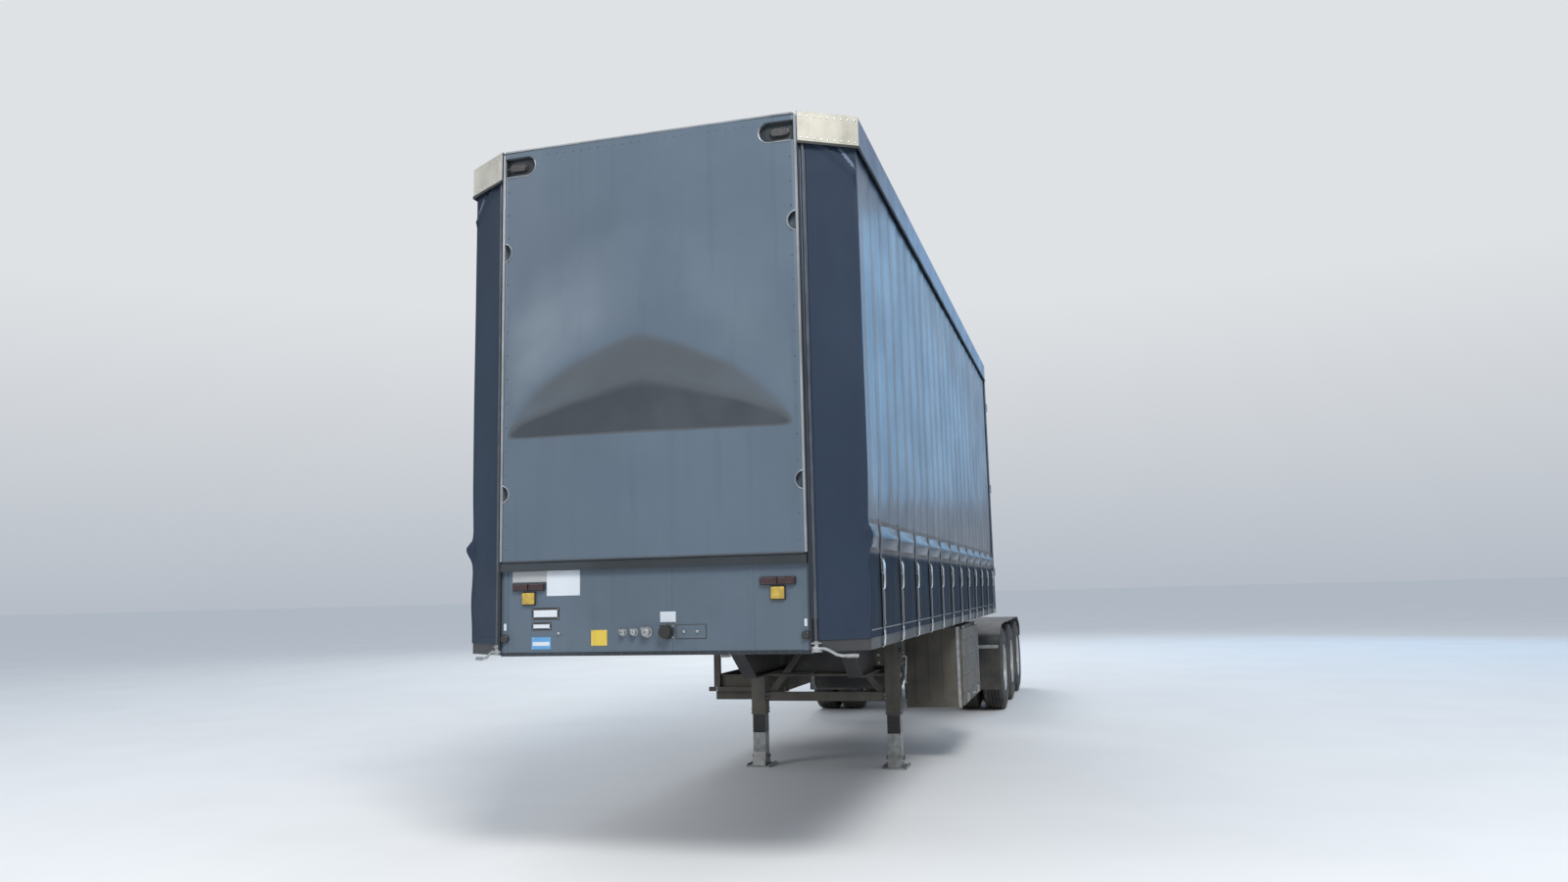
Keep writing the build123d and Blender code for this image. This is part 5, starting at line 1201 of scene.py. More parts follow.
# Landing gear: collars, shoes, bolts, gearbox and crank
LEG = st(4.195)
LEG_X = 0.625
LEG_HALF = 0.0592
CRANK_Z = 0.975
GEARBOX_X = 0.690
SHOE = ((LEG - 0.055, 0.014), (LEG + 0.055, 0.014), (LEG + 0.026, 0.105), (LEG - 0.026, 0.105))
GEARBOX = (
    (LEG - 0.055, 0.900), (LEG + 0.055, 0.900), (LEG + 0.055, 1.010), (LEG + 0.030, 1.045),
    (LEG - 0.030, 1.045), (LEG - 0.055, 1.010),
)
CRANK_PATH = (
    (0.716, CRANK_Z), (0.736, CRANK_Z), (0.7445, 0.972), (0.7475, 0.964), (0.744, 0.900), (0.736, 0.790),
    (0.7345, 0.765), (0.737, 0.740), (0.744, 0.640), (0.7455, 0.598),
)
CRANK_GRIP = ((0.7375, 0.735), (0.741, 0.690), (0.7455, 0.600))


def leg_collar(shape, x, half, low, high):
    shape.box((x - half, LEG - half, low), (x + half, LEG + half, high), 0)


def leg_fittings():
    """Collars, bolts, shoes with their pins, hubs and the gearbox."""
    paint, zinc = range(2)
    gear = Shape()
    for side in SIDES.values():
        x = side * LEG_X
        for z in (0.470, 0.502):
            leg_collar(gear, x, 0.069, z, z + 0.012)
        leg_collar(gear, x, 0.072, 1.226, 1.243)
        for sign in (-1, 1):
            for z in (0.92, 0.99, 1.08, 1.16):
                gear.bolt((side * 0.505, LEG + sign * 0.050, z), "y", 0.011, 0.009, zinc, sign)
        gear.tube([(x - 0.085, LEG, 0.088), (x + 0.085, LEG, 0.088)], 0.016, 12, zinc)
        for offset in (-0.060, 0.052):
            gear.prism(SHOE, "x", x + offset, x + offset + 0.008, zinc)
        for offset in (-0.108, 0.100):
            gear.box((x + offset, LEG - 0.122, 0.010), (x + offset + 0.008, LEG + 0.122, 0.026), zinc)
        hub = [(0.030, 0), (0.030, side * 0.010), (0.020, side * 0.014), (0, side * 0.014)]
        gear.lathe(hub, (side * GEARBOX_X, LEG, 0.815), "x", 16, zinc)
        for z in (0.602, 0.638):
            gear.bolt((side * 0.558, LEG - 0.025, z), "y", 0.010, 0.008, zinc, -1)
    gear.prism(GEARBOX, "x", GEARBOX_X, GEARBOX_X + 0.026, paint)
    for z in (0.911, 1.004):
        for y in (-0.044, 0.044):
            gear.bolt((GEARBOX_X + 0.026, LEG + y, z), "x", 0.007, 0.006, zinc)
    gear.make("leg_fittings", ["leg_paint", "galvanised_steel"], bevel=0.0015)


def leg_grease():
    grease = Shape()
    for side in SIDES.values():
        leg_collar(grease, side * LEG_X, LEG_HALF, 0.30, 0.464)
    grease.make("leg_grease", ["grease"], bevel=0.001)


def crank_handle():
    crank = Shape()
    crank.tube([(x, LEG, z) for x, z in CRANK_PATH], 0.0085, 12, 0)
    crank.tube([(x, LEG, z) for x, z in CRANK_GRIP], 0.0135, 14, 1)
    socket = [(0.017, 0), (0.017, 0.022), (0.012, 0.026), (0, 0.026)]
    crank.lathe(socket, (0.712, LEG, CRANK_Z), "x", 16, 0)
    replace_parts(crank.make("crank_handle", ["galvanised_steel", "black_rubber"]), "leg_crank")


leg_fittings()
leg_grease()
crank_handle()

# Tool box: corner posts, front ribs and rivets; lid with panels, latches, grip and hinge knuckles
BOX_FRONT, BOX_REAR = st(4.450), st(5.950)
BOX_LOW, BOX_HIGH = 0.497, 1.217
LID_AXIS = (1.21, 1.205)


def tool_box_trim():
    trim = Shape()
    for y_low, y_high in ((BOX_FRONT - 0.003, BOX_FRONT + 0.022), (BOX_REAR - 0.022, BOX_REAR + 0.003)):
        trim.box((1.172, y_low, BOX_LOW), (1.1985, y_high, BOX_HIGH), 1)
    trim.box((0.698, BOX_FRONT - 0.003, BOX_LOW), (0.722, BOX_FRONT + 0.02, BOX_HIGH), 0)
    trim.box((0.70, BOX_FRONT - 0.004, BOX_LOW), (1.18, BOX_FRONT + 0.018, 0.515), 0)
    for k in range(3):
        x = 0.80 + 0.125 * k
        trim.box((x - 0.012, BOX_FRONT - 0.006, 0.56), (x + 0.012, BOX_FRONT + 0.001, 1.16), 0)
    for k in range(8):
        for x in (0.710, 1.186):
            trim.rivet((x, BOX_FRONT - 0.003, 0.54 + 0.09 * k), "y", 0.004, 1, -1)
    trim.make("tool_box_trim", ["box_paint", "galvanised_steel"], bevel=0.0015)


def tool_box_lid():
    low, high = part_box("tool_box_lid")
    outer = high.x
    middle = (low.y + high.y) / 2
    lid = Shape()
    for y_low in (low.y + 0.05, middle + 0.025):
        for z in (0.62, 0.78, 0.94, 1.10):
            rib = (
                (outer - 0.001, z - 0.016), (outer + 0.005, z - 0.009), (outer + 0.005, z + 0.009),
                (outer - 0.001, z + 0.016),
            )
            lid.prism(rib, "y", y_low, y_low + 0.65, 0)
    latch = (
        (outer + 0.004, 0.530), (outer + 0.016, 0.537), (outer + 0.018, 0.588), (outer + 0.013, 0.593),
        (outer + 0.004, 0.590),
    )
    for y in (low.y + 0.30, high.y - 0.30):
        lid.box((outer - 0.001, y - 0.035, 0.520), (outer + 0.004, y + 0.035, 0.600), 1)
        lid.prism(latch, "y", y - 0.020, y + 0.020, 1)
        for dy in (-0.028, 0.028):
            for z in (0.528, 0.592):
                lid.rivet((outer + 0.004, y + dy, z), "x", 0.004, 1)
    half_grip = [(-0.002, -0.07), (0.016, -0.07), (0.022, -0.06)]
    grip = half_grip + [(off, -y) for off, y in reversed(half_grip)]
    lid.tube([(outer + off, middle + y, 0.565) for off, y in grip], 0.006, 10, 1)
    for station in (4.450 + 0.220, 5.950 - 0.220):
        ends = (st(station) - 0.0595, st(station) - 0.0005)
        lid.tube([(LID_AXIS[0], y, LID_AXIS[1]) for y in ends], 0.0098, 14, 1)
    finishes = ["box_paint", "galvanised_steel"]
    lid.make("tool_box_lid_fittings", finishes, "box_lid", bevel=0.0012)


tool_box_trim()
tool_box_lid()

# Tray: rolled rim, ribs and the bolts of its two frames
TRAY_FRONT, TRAY_REAR = st(4.500), st(6.450)
TRAY_OUTER, TRAY_INNER = -1.158, -0.702
TRAY_RIM_Z = 0.788


def tray_fittings():
    tray = Shape()
    for y in (TRAY_FRONT, TRAY_REAR):
        tray.tube([(-0.705, y, TRAY_RIM_Z), (-1.155, y, TRAY_RIM_Z)], 0.007, 8, 0)
    for x in (TRAY_OUTER, TRAY_INNER):
        tray.tube([(x, TRAY_FRONT, TRAY_RIM_Z), (x, TRAY_REAR, TRAY_RIM_Z)], 0.007, 8, 0)
    for k in range(5):
        y = TRAY_FRONT + 0.25 + 0.36 * k
        tray.box((-1.165, y - 0.015, 0.562), (-1.158, y + 0.015, 0.782), 0)
    for y, sign in ((TRAY_FRONT - 0.020, -1), (TRAY_REAR + 0.020, 1)):
        for x in (-0.46, -1.138):
            for dz in (-0.012, 0.012):
                tray.bolt((x, y + sign * 0.020, 0.660 + dz), "y", 0.008, 0.006, 1, sign)
    tray.make("tray_fittings", ["box_paint", "galvanised_steel"], bevel=0.001)


tray_fittings()

# Wheels: twin tyres, rims with hand holes, studs and hub
AXLES = {"front": 9.050, "middle": 10.300, "rear": 11.550}
HUB_Z = 0.52
TYRE_CENTRES = (1.105, 0.770)
HOLES, HOLE_CIRCLE = 10, 0.2165
STUDS, STUD_CIRCLE = 10, 0.1685
CAP_BOLTS, CAP_CIRCLE = 8, 0.119
DISC_FACE, CAP_FACE = 1.0545, 1.1075
HALF_SECTION = (
    # radius, distance from the tyre's middle
    (0.2895, 0.104), (0.298, 0.116), (0.312, 0.121), (0.330, 0.127), (0.352, 0.1335), (0.356, 0.1365),
    (0.364, 0.1370), (0.368, 0.1355), (0.395, 0.1385), (0.418, 0.1392), (0.421, 0.1398), (0.427, 0.1398),
    (0.430, 0.1380), (0.452, 0.1335), (0.474, 0.1265), (0.492, 0.1215), (0.500, 0.1195), (0.508, 0.1155),
    (0.5135, 0.1090),
    (0.5165, 0.100), (0.5175, 0.070), (0.516, 0.0675), (0.5040, 0.0655), (0.5040, 0.0590), (0.516, 0.0570),
    (0.5190, 0.0545), (0.5195, 0.0275), (0.518, 0.0250), (0.5045, 0.0230), (0.5045, 0.0160), (0.518, 0.0140),
    (0.5200, 0.0120),
)
RIM_SECTION = (
    # radius, distance from the trailer's middle
    (0, 0.6202), (0.200, 0.6202), (0.206, 0.626), (0.208, 0.70), (0.262, 0.712),
    (0.2862, 0.722), (0.2862, 1.215), (0.2905, 1.2205), (0.2950, 1.2260), (0.2950, 1.2300),
    (0.2900, 1.2320), (0.2780, 1.2270), (0.2700, 1.2180), (0.2640, 1.1900), (0.2600, 1.1000),
    (0.2560, 1.0620), (0.2480, 1.0490), (0.2380, 1.0450), (0.1960, 1.0470), (0.1880, 1.0500),
    (0.1550, 1.0560), (0.1480, 1.0580), (0.1430, 1.0640), (0.1400, 1.0980), (0.1340, 1.1060),
    (0.1080, 1.1080), (0.0900, 1.1100), (0.0860, 1.1140), (0.0820, 1.1400), (0.0740, 1.1490),
    (0.0600, 1.1500), (0, 1.1500),
)
WHEEL_FINISHES = ["rim_paint", "galvanised_steel", "grease"]


def zigzag(step, k, radius, along):
    """Zigzag grooves in the tread, notches at its shoulders."""
    if radius > 0.5035 and abs(along) < 0.072:
        along += 0.0028 if step % 2 else -0.0028
    elif radius > 0.5 and step % 4 == 0 and abs(along) > 0.095:
        radius -= 0.0035
    return radius, along


def tyre_pair():
    """Two tyres side by side."""
    section = HALF_SECTION + tuple((radius, -aside) for radius, aside in reversed(HALF_SECTION))
    tyres = Shape()
    for centre in TYRE_CENTRES:
        tyres.lathe(section, (centre, 0, 0), "x", 88, 0, zigzag, closed=True)
    return tyres.mesh_data("tyre_pair", ["tyre_rubber"], 24)


def hand_holes():
    """Oval plugs that cut the holes of the rim's disc."""
    holes = Shape()
    for k in range(HOLES):
        angle = 2 * math.pi * (k + 0.5) / HOLES
        outline = []
        for m in range(16):
            turn = 2 * math.pi * m / 16
            radial = HOLE_CIRCLE + 0.0165 * math.cos(turn)
            aside = 0.026 * math.sin(turn)
            y = radial * math.cos(angle) - aside * math.sin(angle)
            outline.append((y, radial * math.sin(angle) + aside * math.cos(angle)))
        holes.prism(outline, "x", 1.018, 1.08)
    return holes.make("rim_holes", ["grease"], None)


def rim():
    """The rims of a pair, turned as one, greasy where the hub meets them."""
    shape = Shape()
    shape.lathe(RIM_SECTION, (0, 0, 0), "x", 64, 0)
    mesh = cut_away(shape.make("rim", WHEEL_FINISHES, None, angle=28), hand_holes())
    for polygon in mesh.polygons:
        if polygon.center.x < 1.042 and math.hypot(polygon.center.y, polygon.center.z) < 0.245:
            polygon.material_index = 2
    return mesh


def studs():
    """Nuts on studs, small bolts of the hub cap, brake drum."""
    shape = Shape()
    end = [(0.011, 0.02), (0.011, 0.042), (0.008, 0.046), (0, 0.046)]
    for k in range(STUDS):
        angle = 2 * math.pi * k / STUDS
        place = (DISC_FACE, STUD_CIRCLE * math.cos(angle), STUD_CIRCLE * math.sin(angle))
        shape.bolt(place, "x", 0.0165, 0.026, 1)
        shape.lathe(end, place, "x", 10, 1)
    for k in range(CAP_BOLTS):
        angle = 2 * math.pi * k / CAP_BOLTS
        place = (CAP_FACE, CAP_CIRCLE * math.cos(angle), CAP_CIRCLE * math.sin(angle))
        shape.bolt(place, "x", 0.007, 0.007, 1)
    shape.lathe([(0.235, 0.66), (0.235, 0.80), (0.20, 0.81), (0, 0.81)], (0, 0, 0), "x", 32, 2)
    return shape.mesh_data("studs", WHEEL_FINISHES)


def wheels():
    """Six pairs, each turned by chance, the right-hand ones mirrored."""
    sources = {"tyre_pair": tyre_pair(), "rim": rim(), "studs": studs()}
    nodes = {"tyre_pair": "tyres", "rim": "rims"}
    for axle_name, station in AXLES.items():
        for side_name, side in SIDES.items():
            turned = Matrix.Rotation(rng.uniform(0, 6.28), 4, "X")
            place = Matrix.Translation((0, st(station), HUB_Z)) @ turned
            if side < 0:
                place = place @ Matrix.Scale(-1, 4, (1, 0, 0))
            where = f"{axle_name}_{side_name}"
            for label, source in sources.items():
                data = source.copy()
                data.transform(place)
                if side < 0:
                    data.flip_normals()
                piece = dress(f"{label}_{where}", data, f"wheel_{where}")
                if label in nodes:
                    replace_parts(piece, f"{nodes[label]}_{where}")


wheels()

# Suspension: bellows, brake cans, clamps and bolts of the arms
ARM_X, BRAKE_X = 0.460, 0.250
SPRING_BEHIND, PIVOT_BEFORE = 0.330, 0.470
AXLE_HALF = 0.0635
HANGER_HALF, HANGER_PLATE = 0.0383, 0.012
PEDESTAL = ((0, 0.690), (0.078, 0.690), (0.080, 0.700), (0.074, 0.752), (0.060, 0.756), (0, 0.757))
BELLOWS = (
    # radius, height
    (0, 0.7505), (0.070, 0.7505), (0.100, 0.754), (0.116, 0.768), (0.1195, 0.782), (0.114, 0.795),
    (0.103, 0.8005), (0.114, 0.806), (0.1195, 0.818), (0.116, 0.832), (0.104, 0.841), (0.095, 0.842),
    (0.095, 0.8495), (0, 0.8495),
)
BRAKE_CAN = (
    # radius, distance behind the axle
    (0, 0.040), (0.040, 0.040), (0.060, 0.048), (0.066, 0.062), (0.066, 0.092), (0.0715, 0.095),
    (0.0715, 0.107), (0.066, 0.110), (0.066, 0.130), (0.069, 0.134), (0.069, 0.172), (0.062, 0.184),
    (0.035, 0.189), (0, 0.1895),
)


def wheel_places():
    """Each axle's distance behind the front, with each side."""
    return [(station, side) for station in AXLES.values() for side in SIDES.values()]


def air_bellows():
    rubber, metal = range(2)
    springs = Shape()
    for station, side in wheel_places():
        centre = (side * ARM_X, st(station + SPRING_BEHIND), 0)
        springs.lathe(PEDESTAL, centre, "z", 28, metal)
        springs.lathe(BELLOWS, centre, "z", 32, rubber)
    piece = springs.make("air_bellows", ["black_rubber", "cast_metal"], angle=50)
    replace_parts(piece, "air_springs")


def brake_cans():
    cans = Shape()
    for station, side in wheel_places():
        x = side * BRAKE_X
        y = st(station) + AXLE_HALF + 0.0003
        cans.box((x - 0.02, y, 0.500), (x + 0.02, y + 0.042, 0.545), 0)
        cans.lathe(BRAKE_CAN, (x, y, 0.540), "y", 28, 0)
        cans.bolt((x + 0.060, y + 0.094, 0.560), "y", 0.007, 0.010, 1, -1)
    piece = cans.make("brake_cans", ["galvanised_steel", "buckle_steel"], bevel=0.0008)
    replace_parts(piece, "brake_chambers")


def axle_clamps():
    """Bolts and plates that hold the axles, bolts of the arms' pivots, a pipe beside each arm."""
    zinc, paint = range(2)
    nut = [(0.0125, 0.662), (0.0125, 0.676), (0, 0.676)]
    pipe = [(0.32, 0.085, 0.60), (0.32, 0.085, 0.80), (0.40, 0.10, 0.855)]
    clamps = Shape()
    for station, side in wheel_places():
        x, y = side * ARM_X, st(station)
        for dx in (-0.0445, 0.0445):
            for dy in (-0.070, 0.070):
                clamps.tube([(x + dx, y + dy, 0.438), (x + dx, y + dy, 0.680)], 0.0065, 10, zinc)
                clamps.lathe(nut, (x + dx, y + dy, 0), "z", 6, zinc)
        for reach, low, high in ((0.082, 0.4405, 0.4560), (0.086, 0.6540, 0.6620)):
            clamps.box((x - 0.056, y - reach, low), (x + 0.056, y + reach, high), paint)
        pivot = st(station - PIVOT_BEFORE)
        for direction in (-1, 1):
            face = x + direction * (HANGER_HALF + HANGER_PLATE)
            clamps.bolt((face, pivot, 0.610), "x", 0.019, 0.014, zinc, direction)
            for dy in (-0.06, 0.06):
                for z in (0.700, 0.820):
                    clamps.bolt((face, pivot + dy, z), "x", 0.009, 0.008, zinc, direction)
        clamps.tube([(side * a, y + b, z) for a, b, z in pipe], 0.011, 10, paint)
    clamps.make("axle_clamps", ["galvanised_steel", "chassis_paint"], bevel=0.0008)


air_bellows()
brake_cans()
axle_clamps()

# Air tanks: domed shells with welds, straps, brackets and drain cocks
TANK_PLACES = (5.450, 5.840)
TANK_Z = 0.700
TANK_END = 0.455
TANK_RADIUS = 0.1235


def tank_shell():
    dome = [
        (0, -TANK_END), (0.050, -TANK_END + 0.004), (0.090, -TANK_END + 0.020),
        (0.114, -TANK_END + 0.045), (TANK_RADIUS, -TANK_END + 0.075),
    ]
    return dome + [(TANK_RADIUS, TANK_END - 0.075)] + [(r, -t) for r, t in reversed(dome[:-1])]


def air_vessels():
    paint, zinc = range(2)
    tanks = Shape()
    for station in TANK_PLACES:
        y = st(station)
        centre = (0, y, TANK_Z)
        tanks.lathe(tank_shell(), centre, "x", 36, paint)
        for x in (-TANK_END + 0.078, TANK_END - 0.078):
            weld = [(0.1230, x - 0.004), (0.1250, x - 0.003), (0.1250, x + 0.003), (0.1230, x + 0.004)]
            tanks.lathe(weld, centre, "x", 36, paint, closed=True)
        bracket = ((y - 0.060, 0.8498), (y + 0.060, 0.8498), (y + 0.040, 0.815), (y - 0.040, 0.815))
        for side in SIDES.values():
            x = side * 0.405
            band = [(0.1232, x - 0.018), (0.1262, x - 0.018), (0.1262, x + 0.018), (0.1232, x + 0.018)]
            tanks.lathe(band, centre, "x", 36, zinc, closed=True)
            tanks.prism(bracket, "x", x - 0.005, x + 0.045, zinc)
            tanks.bolt((x, y - 0.122, 0.730), "y", 0.008, 0.008, zinc, -1)
        drain = [(0.014, 0.5745), (0.014, 0.566), (0.008, 0.560), (0, 0.560)]
        tanks.lathe(drain, (0.1, y, 0), "z", 12, zinc)
    piece = tanks.make("air_vessels", ["chassis_paint", "galvanised_steel"], bevel=0.0006)
    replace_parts(piece, "air_tanks")


air_vessels()

# Mudguards with ribs and rolled edges, bars and ribs of the flaps
GUARD_CORNERS = (
    (8.402, 0.800), (8.402, 0.961), (8.780, 1.0985), (11.820, 1.0985), (12.198, 0.961), (12.198, 0.800),
)
GUARD_INNER, GUARD_OUTER = 0.624, 1.238
GUARD_BEND = 0.13
GUARD_THICK = 0.004
FLAP_X = 0.931
FLAP_FRONT, FLAP_REAR = 8.400, 12.200


def rounded(path, radius, count=5):
    """A path with its inner corners rounded."""
    path = [Vector(p) for p in path]
    result = [path[0]]
    for a, b, c in zip(path, path[1:], path[2:]):
        into, out = a - b, c - b
        reach = min(radius, into.length / 2.1, out.length / 2.1)
        first, last = b + into.normalized() * reach, b + out.normalized() * reach
        for k in range(count + 1):
            t = k / count
            result.append(first * (1 - t) ** 2 + b * 2 * t * (1 - t) + last * t * t)
    result.append(path[-1])
    return result


def guard_shells():
    path = rounded([(st(station), z) for station, z in GUARD_CORNERS], GUARD_BEND)
    inner = []
    for k, p in enumerate(path):
        ahead = path[min(k + 1, len(path) - 1)] - path[max(k - 1, 0)]
        normal = Vector((ahead.y, -ahead.x)).normalized()
        inner.append((p.x + normal.x * GUARD_THICK, p.y + normal.y * GUARD_THICK))
    outline = [(p.x, p.y) for p in path] + inner[::-1]
    guards = Shape()
    for side in SIDES.values():
        guards.prism(outline, "x", side * GUARD_INNER, side * GUARD_OUTER)
        for x in (0.628, 1.234):
            guards.tube([(side * x, p.x, p.y - 0.002) for p in path], 0.005, 6)
        for x in (0.78, 0.93, 1.08):
            guards.tube([(side * x, p.x, p.y - 0.001) for p in path], 0.0045, 6)
    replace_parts(guards.make("guard_shells", ["black_plastic"], angle=40), "mudguards")


def flap_bars():
    zinc, rubber = range(2)
    flaps = Shape()
    for side in SIDES.values():
        x = side * FLAP_X
        for y, sign in ((st(FLAP_FRONT) - 0.008, -1), (st(FLAP_REAR) + 0.008, 1)):
            y_low, y_high = sorted((y, y + sign * 0.004))
            flaps.box((x - 0.285, y_low, 0.805), (x + 0.285, y_high, 0.845), zinc)
            for k in range(5):
                flaps.bolt((x - 0.24 + 0.12 * k, y + sign * 0.004, 0.825), "y", 0.008, 0.006, zinc, sign)
            y_low, y_high = sorted((y, y + sign * 0.002))
            for k in range(9):
                rib = x - 0.24 + 0.06 * k
                flaps.box((rib - 0.006, y_low, 0.33), (rib + 0.006, y_high, 0.79), rubber)
    flaps.make("flap_bars", ["galvanised_steel", "black_rubber"], bevel=0.001)


guard_shells()
flap_bars()

# Rear doors: ribs, seals and hinge bolts; locking rods with cams, guides and handles
DOOR_FACE = st(8.040)
LOCK_X, LOCK_Y = 0.360, st(8.063)
HINGE_LEVELS = (1.750, 2.770, 3.790)
GUIDE_LEVELS = (1.560, 2.780, 4.000)
ROD_LOW, ROD_HIGH = 1.402, 4.118
DOOR_RIBS = 11
DOOR_LOW, DOOR_HIGH = 1.50, 4.06
SEALS = (
    # inner, outer, low, high
    (0.0035, 0.016, 1.445, 4.115),
    (1.202, 1.2145, 1.445, 4.115),
    (0.003, 1.215, 4.105, 4.1195),
    (0.003, 1.215, 1.4405, 1.456),
)


def rib_spans(x):
    """The heights a door rib covers. It leaves out the locking rod, the handle and the hinges."""
    if 0.30 < x + 0.03 < 0.40:
        return ()
    if x + 0.062 > 1.02:
        return ((DOOR_LOW, 1.735), (1.815, 2.755), (2.835, 3.775), (3.855, DOOR_HIGH))
    if 0.40 < x < 0.80:
        return ((DOOR_LOW, 2.125), (2.175, DOOR_HIGH))
    return ((DOOR_LOW, DOOR_HIGH),)


def door_skin(side_name, side):
    """Upright ribs, the seals round the door and the bolts of its hinges."""
    paint, seal, zinc = range(3)
    skin = Shape()
    for k in range(DOOR_RIBS):
        x = 0.075 + 0.104 * k
        rib = (
            (side * x, DOOR_FACE - 0.001), (side * (x + 0.010), DOOR_FACE + 0.007),
            (side * (x + 0.052), DOOR_FACE + 0.007), (side * (x + 0.062), DOOR_FACE - 0.001),
        )
        for low, high in rib_spans(x):
            skin.prism(rib, "z", low, high, paint)
    for inner, outer, low, high in SEALS:
        x_low, x_high = sorted((side * inner, side * outer))
        skin.box((x_low, DOOR_FACE - 0.001, low), (x_high, DOOR_FACE + 0.006, high), seal)
    for level in HINGE_LEVELS:
        for k in range(3):
            place = (side * (1.045 + 0.05 * k), DOOR_FACE + 0.008, level + 0.025)
            skin.bolt(place, "y", 0.008, 0.006, zinc)
    finishes = ["door_paint", "rubber_seal", "galvanised_steel"]
    skin.make(f"door_skin_{side_name}", finishes, f"rear_door_{side_name}", bevel=0.0015)


def lock_rods(side_name, side):
    """A locking rod in its guides, with cams at both ends and a handle on its rest."""
    x, y = side * LOCK_X, LOCK_Y
    rods = Shape()
    rods.tube([(x, y, ROD_LOW), (x, y, ROD_HIGH)], 0.0125, 16)
    cam = ((x - 0.030, y - 0.010), (x + 0.030, y - 0.010), (x + 0.018, y + 0.012), (x - 0.018, y + 0.012))
    for z in (1.406, 4.085):
        rods.prism(cam, "z", z, z + 0.030)
    for level in GUIDE_LEVELS:
        rods.box((x - 0.042, DOOR_FACE, level), (x + 0.042, DOOR_FACE + 0.005, level + 0.046))
        guide = [(0.018, level), (0.0195, level + 0.004), (0.0195, level + 0.042), (0.018, level + 0.046)]
        rods.lathe(guide, (x, y, 0), "z", 18)
        rods.box((x - 0.012, DOOR_FACE + 0.002, level + 0.006), (x + 0.012, y, level + 0.040))
        for dx in (-0.033, 0.033):
            rods.bolt((x + dx, DOOR_FACE + 0.005, level + 0.023), "y", 0.007, 0.006, 1)
    hub = [(0.0165, 2.115), (0.0185, 2.12), (0.0185, 2.18), (0.0165, 2.185)]
    rods.lathe(hub, (x, y, 0), "z", 18)
    grip = [(0.0, 0.0), (0.05, 0.004), (0.12, 0.000), (0.30, -0.004), (0.38, -0.004), (0.418, 0.003)]
    handle = [(x + side * a, y + b + 0.005) for a, b in grip]
    handle += [(x + side * a, y + b - 0.005) for a, b in reversed(grip)]
    rods.prism(handle, "z", 2.135, 2.165)
    rest = x + side * 0.36
    rods.box((rest - 0.02, DOOR_FACE, 2.125), (rest + 0.02, y - 0.010, 2.175))
    finishes = ["galvanised_steel", "buckle_steel"]
    piece = rods.make(f"lock_rods_{side_name}", finishes, f"rear_door_{side_name}", bevel=0.0012)
    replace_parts(piece, f"door_lock_{side_name}")


for side_name, side in SIDES.items():
    door_skin(side_name, side)
    lock_rods(side_name, side)

# Roof seams, frame bolts and the grease on the turntable
ROOF_Z = 4.2902
ROOF_SEAMS = 7
MEMBER_STEP = 0.659
TURNTABLE_Y = st(9.930)


def roof_seams():
    low, high = ROOF_Z - 0.001, ROOF_Z + 0.003
    top = Shape()
    for k in range(ROOF_SEAMS):
        y = st(0.9 + 1.1 * k)
        seam = ((y - 0.022, low), (y - 0.012, high), (y + 0.012, high), (y + 0.022, low))
        top.prism(seam, "x", -1.165, 1.165)
        for m in range(30):
            top.rivet((-1.14 + 0.0786 * m, y, high), "z", 0.005, 1)
    top.make("roof_seams", ["roof_sheet", "buckle_steel"])


def frame_bolts():
    """Bolts where cross members, tail and turntable base meet the rails."""
    under = Shape()
    for side in SIDES.values():
        for k in range(3, 10):
            for z in (1.318, 1.365):
                under.bolt((side * 0.556, st(0.266 + MEMBER_STEP * k) - 0.006, z), "y", 0.007, 0.006, 0, -1)
        for station in (8.20, 8.32):
            for z in (0.90, 0.98, 1.03):
                under.bolt((side * 0.520, st(station), z), "x", 0.010, 0.008, 0, side)
        for dy in (-0.30, -0.18, 0.18, 0.30):
            under.bolt((side * 0.470, TURNTABLE_Y + dy, 1.077), "z", 0.012, 0.009)
    under.make("frame_bolts", ["galvanised_steel"])


def turntable_grease():
    """A ring of grease on the plate, open towards its throat."""
    steps = 40
    start, end = math.radians(128), math.radians(412)
    section = ((0.062, 1.2352), (0.064, 1.2375), (0.150, 1.2372), (0.153, 1.2352))
    points = []
    for k in range(steps + 1):
        angle = start + (end - start) * k / steps
        for radius, z in section:
            points.append((radius * math.cos(angle), TURNTABLE_Y + radius * math.sin(angle), z))
    patch = Shape()
    patch.add(points, grid_faces(len(section), steps + 1))
    patch.make("turntable_grease", ["grease"], "coupling_turntable")


roof_seams()
frame_bolts()
turntable_grease()

# Floor, studio light and the photograph's camera
FLOOR_REACH = 900
YAW, PITCH, ROLL = -0.2684, 0.1343, -0.0246
CAMERA_PLACE = (2.4153, -11.9198, 1.5862)
FOCAL_PIXELS, PHOTO_PIXELS, SENSOR_WIDTH = 1127.10, 1600, 36.0


def floor():
    nodes = Nodes("floor_pale")
    grain = nodes.range(nodes.noise(0.7, detail=6), 0.3, 0.7)
    tone = nodes.mix(grain, (0.77, 0.77, 0.76), (0.80, 0.80, 0.79))
    nodes.link(tone, nodes.shader.inputs["Base Color"])
    nodes.shader.inputs["Roughness"].default_value = 0.85
    MATS["floor"] = nodes.material
    reach = FLOOR_REACH
    ground = Shape()
    corners = [(-reach, -reach, 0), (reach, -reach, 0), (reach, reach, 0), (-reach, reach, 0)]
    ground.add(corners, [(0, 1, 2, 3)])
    ground.make("floor", ["floor"], None)


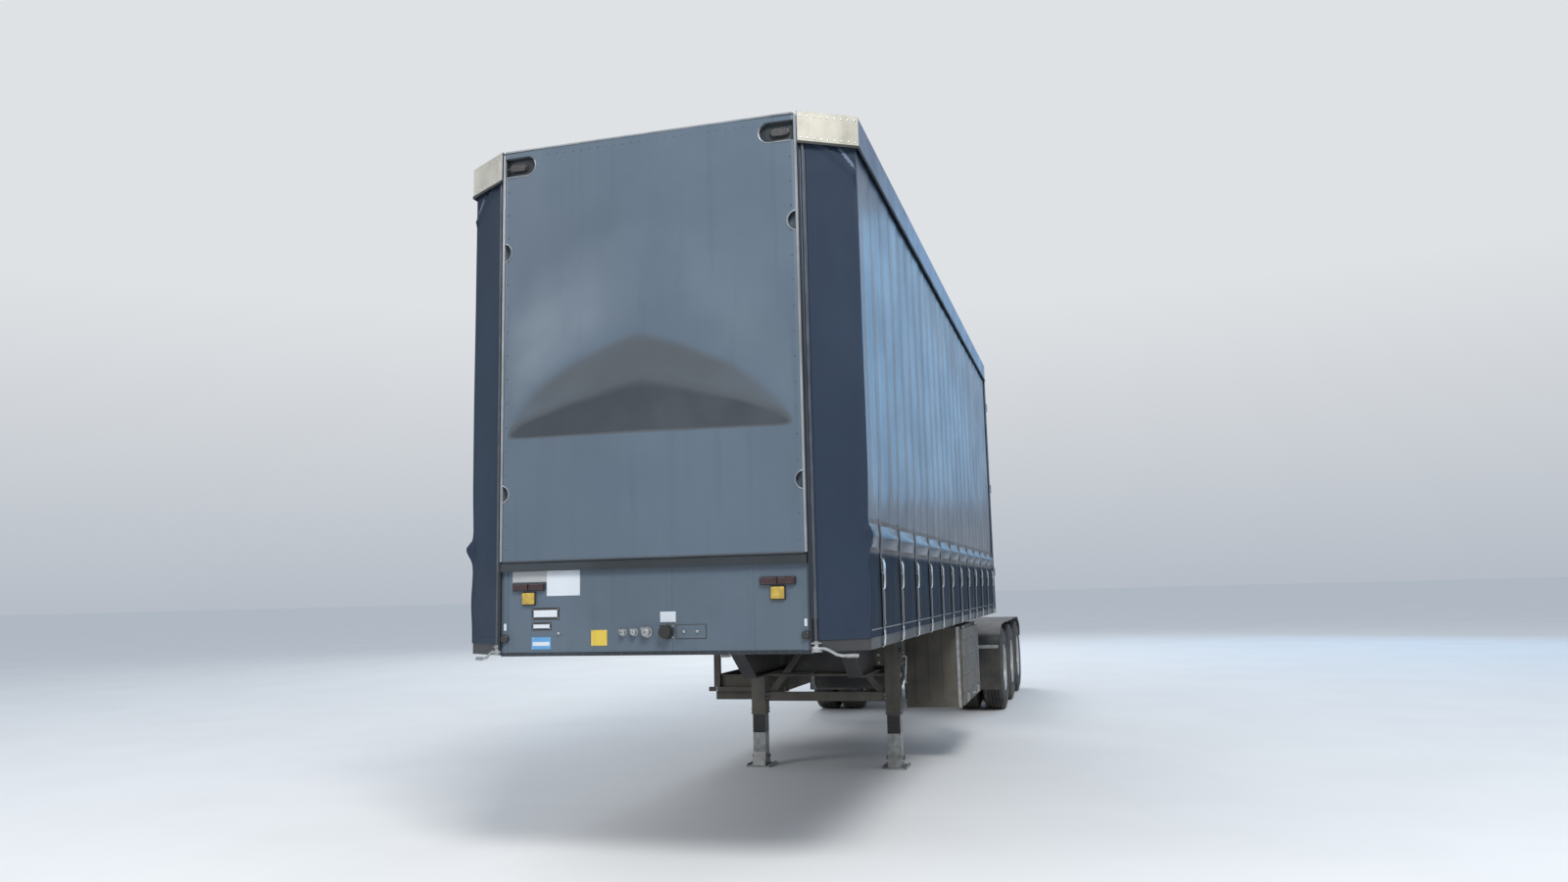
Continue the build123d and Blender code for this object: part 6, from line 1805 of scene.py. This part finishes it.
def mixed(tree, factor, first, second):
    """A world colour between two others, each a colour or a node's output."""
    made = tree.nodes.new("ShaderNodeMix")
    made.data_type = "RGBA"
    tree.links.new(factor, made.inputs[0])
    for colour, target in ((first, made.inputs[6]), (second, made.inputs[7])):
        if isinstance(colour, tuple):
            target.default_value = (*colour, 1)
        else:
            tree.links.new(colour, target)
    return made.outputs[2]


def by_height(tree, height, low, high, bottom, top):
    """A world colour that goes from bottom to top between two heights of the direction looked in."""
    rise = tree.nodes.new("ShaderNodeMapRange")
    tree.links.new(height, rise.inputs["Value"])
    rise.inputs["From Min"].default_value = low
    rise.inputs["From Max"].default_value = high
    return mixed(tree, rise.outputs["Result"], bottom, top)


def studio_world():
    """A soft bluish light from all round. Where the picture shows no object, it has a paler backdrop."""
    world = bpy.data.worlds.new("studio")
    scene.world = world
    world.use_nodes = True
    tree = world.node_tree
    texture = tree.nodes.new("ShaderNodeTexCoord")
    split = tree.nodes.new("ShaderNodeSeparateXYZ")
    tree.links.new(texture.outputs["Generated"], split.inputs[0])
    height = split.outputs["Z"]
    sky = by_height(tree, height, -0.2, 0.7, (0.37, 0.39, 0.42), (0.56, 0.63, 0.73))
    backdrop = by_height(tree, height, 0.0, 0.25, (0.47, 0.51, 0.57), (0.74, 0.76, 0.78))
    seen = tree.nodes.new("ShaderNodeLightPath").outputs["Is Camera Ray"]
    background = tree.nodes["Background"]
    tree.links.new(mixed(tree, seen, sky, backdrop), background.inputs["Color"])
    background.inputs["Strength"].default_value = 1.0


def area(name, place, target, size, power, colour=(1, 1, 1)):
    """A rectangular light at a place, turned to a target."""
    data = bpy.data.lights.new(name, "AREA")
    data.shape = "RECTANGLE"
    data.size, data.size_y = size
    data.energy = power
    data.color = colour
    lamp = bpy.data.objects.new(name, data)
    scene.collection.objects.link(lamp)
    lamp.location = place
    lamp.rotation_euler = (Vector(target) - Vector(place)).to_track_quat("-Z", "Y").to_euler()


def photo_camera():
    forward = Vector((math.sin(YAW) * math.cos(PITCH), math.cos(YAW) * math.cos(PITCH), math.sin(PITCH)))
    level = Vector((math.cos(YAW), -math.sin(YAW), 0))
    upright = level.cross(forward)
    right = level * math.cos(ROLL) + upright * math.sin(ROLL)
    above = -level * math.sin(ROLL) + upright * math.cos(ROLL)
    data = bpy.data.cameras.new("camera")
    data.sensor_fit = "HORIZONTAL"
    data.sensor_width = SENSOR_WIDTH
    data.lens = FOCAL_PIXELS / PHOTO_PIXELS * SENSOR_WIDTH
    data.clip_end = 300
    camera = bpy.data.objects.new("camera", data)
    scene.collection.objects.link(camera)
    rotation = Matrix((right, above, -forward)).transposed()
    camera.matrix_world = Matrix.Translation(CAMERA_PLACE) @ rotation.to_4x4()
    scene.camera = camera


floor()
studio_world()
area("key", (6.5, -16.0, 14.5), (0.3, -5.5, 2.6), (6, 5), 2300, (1.0, 0.985, 0.96))
area("front_fill", (-11.0, -14.0, 9.0), (0, -5.5, 2.2), (6, 5), 500)
area("side_fill", (17.0, 0.0, 9.0), (1.2, 0, 2), (9, 6), 150, (0.90, 0.95, 1.0))
area("side_glow", (11.0, 19.0, 8.5), (1.2, -2, 2.5), (12, 9), 460, (0.22, 0.58, 1.0))
area("rear", (-6.0, 18.0, 12.0), (0, 3, 2), (8, 6), 900)
photo_camera()
scene.view_settings.view_transform = "Standard"
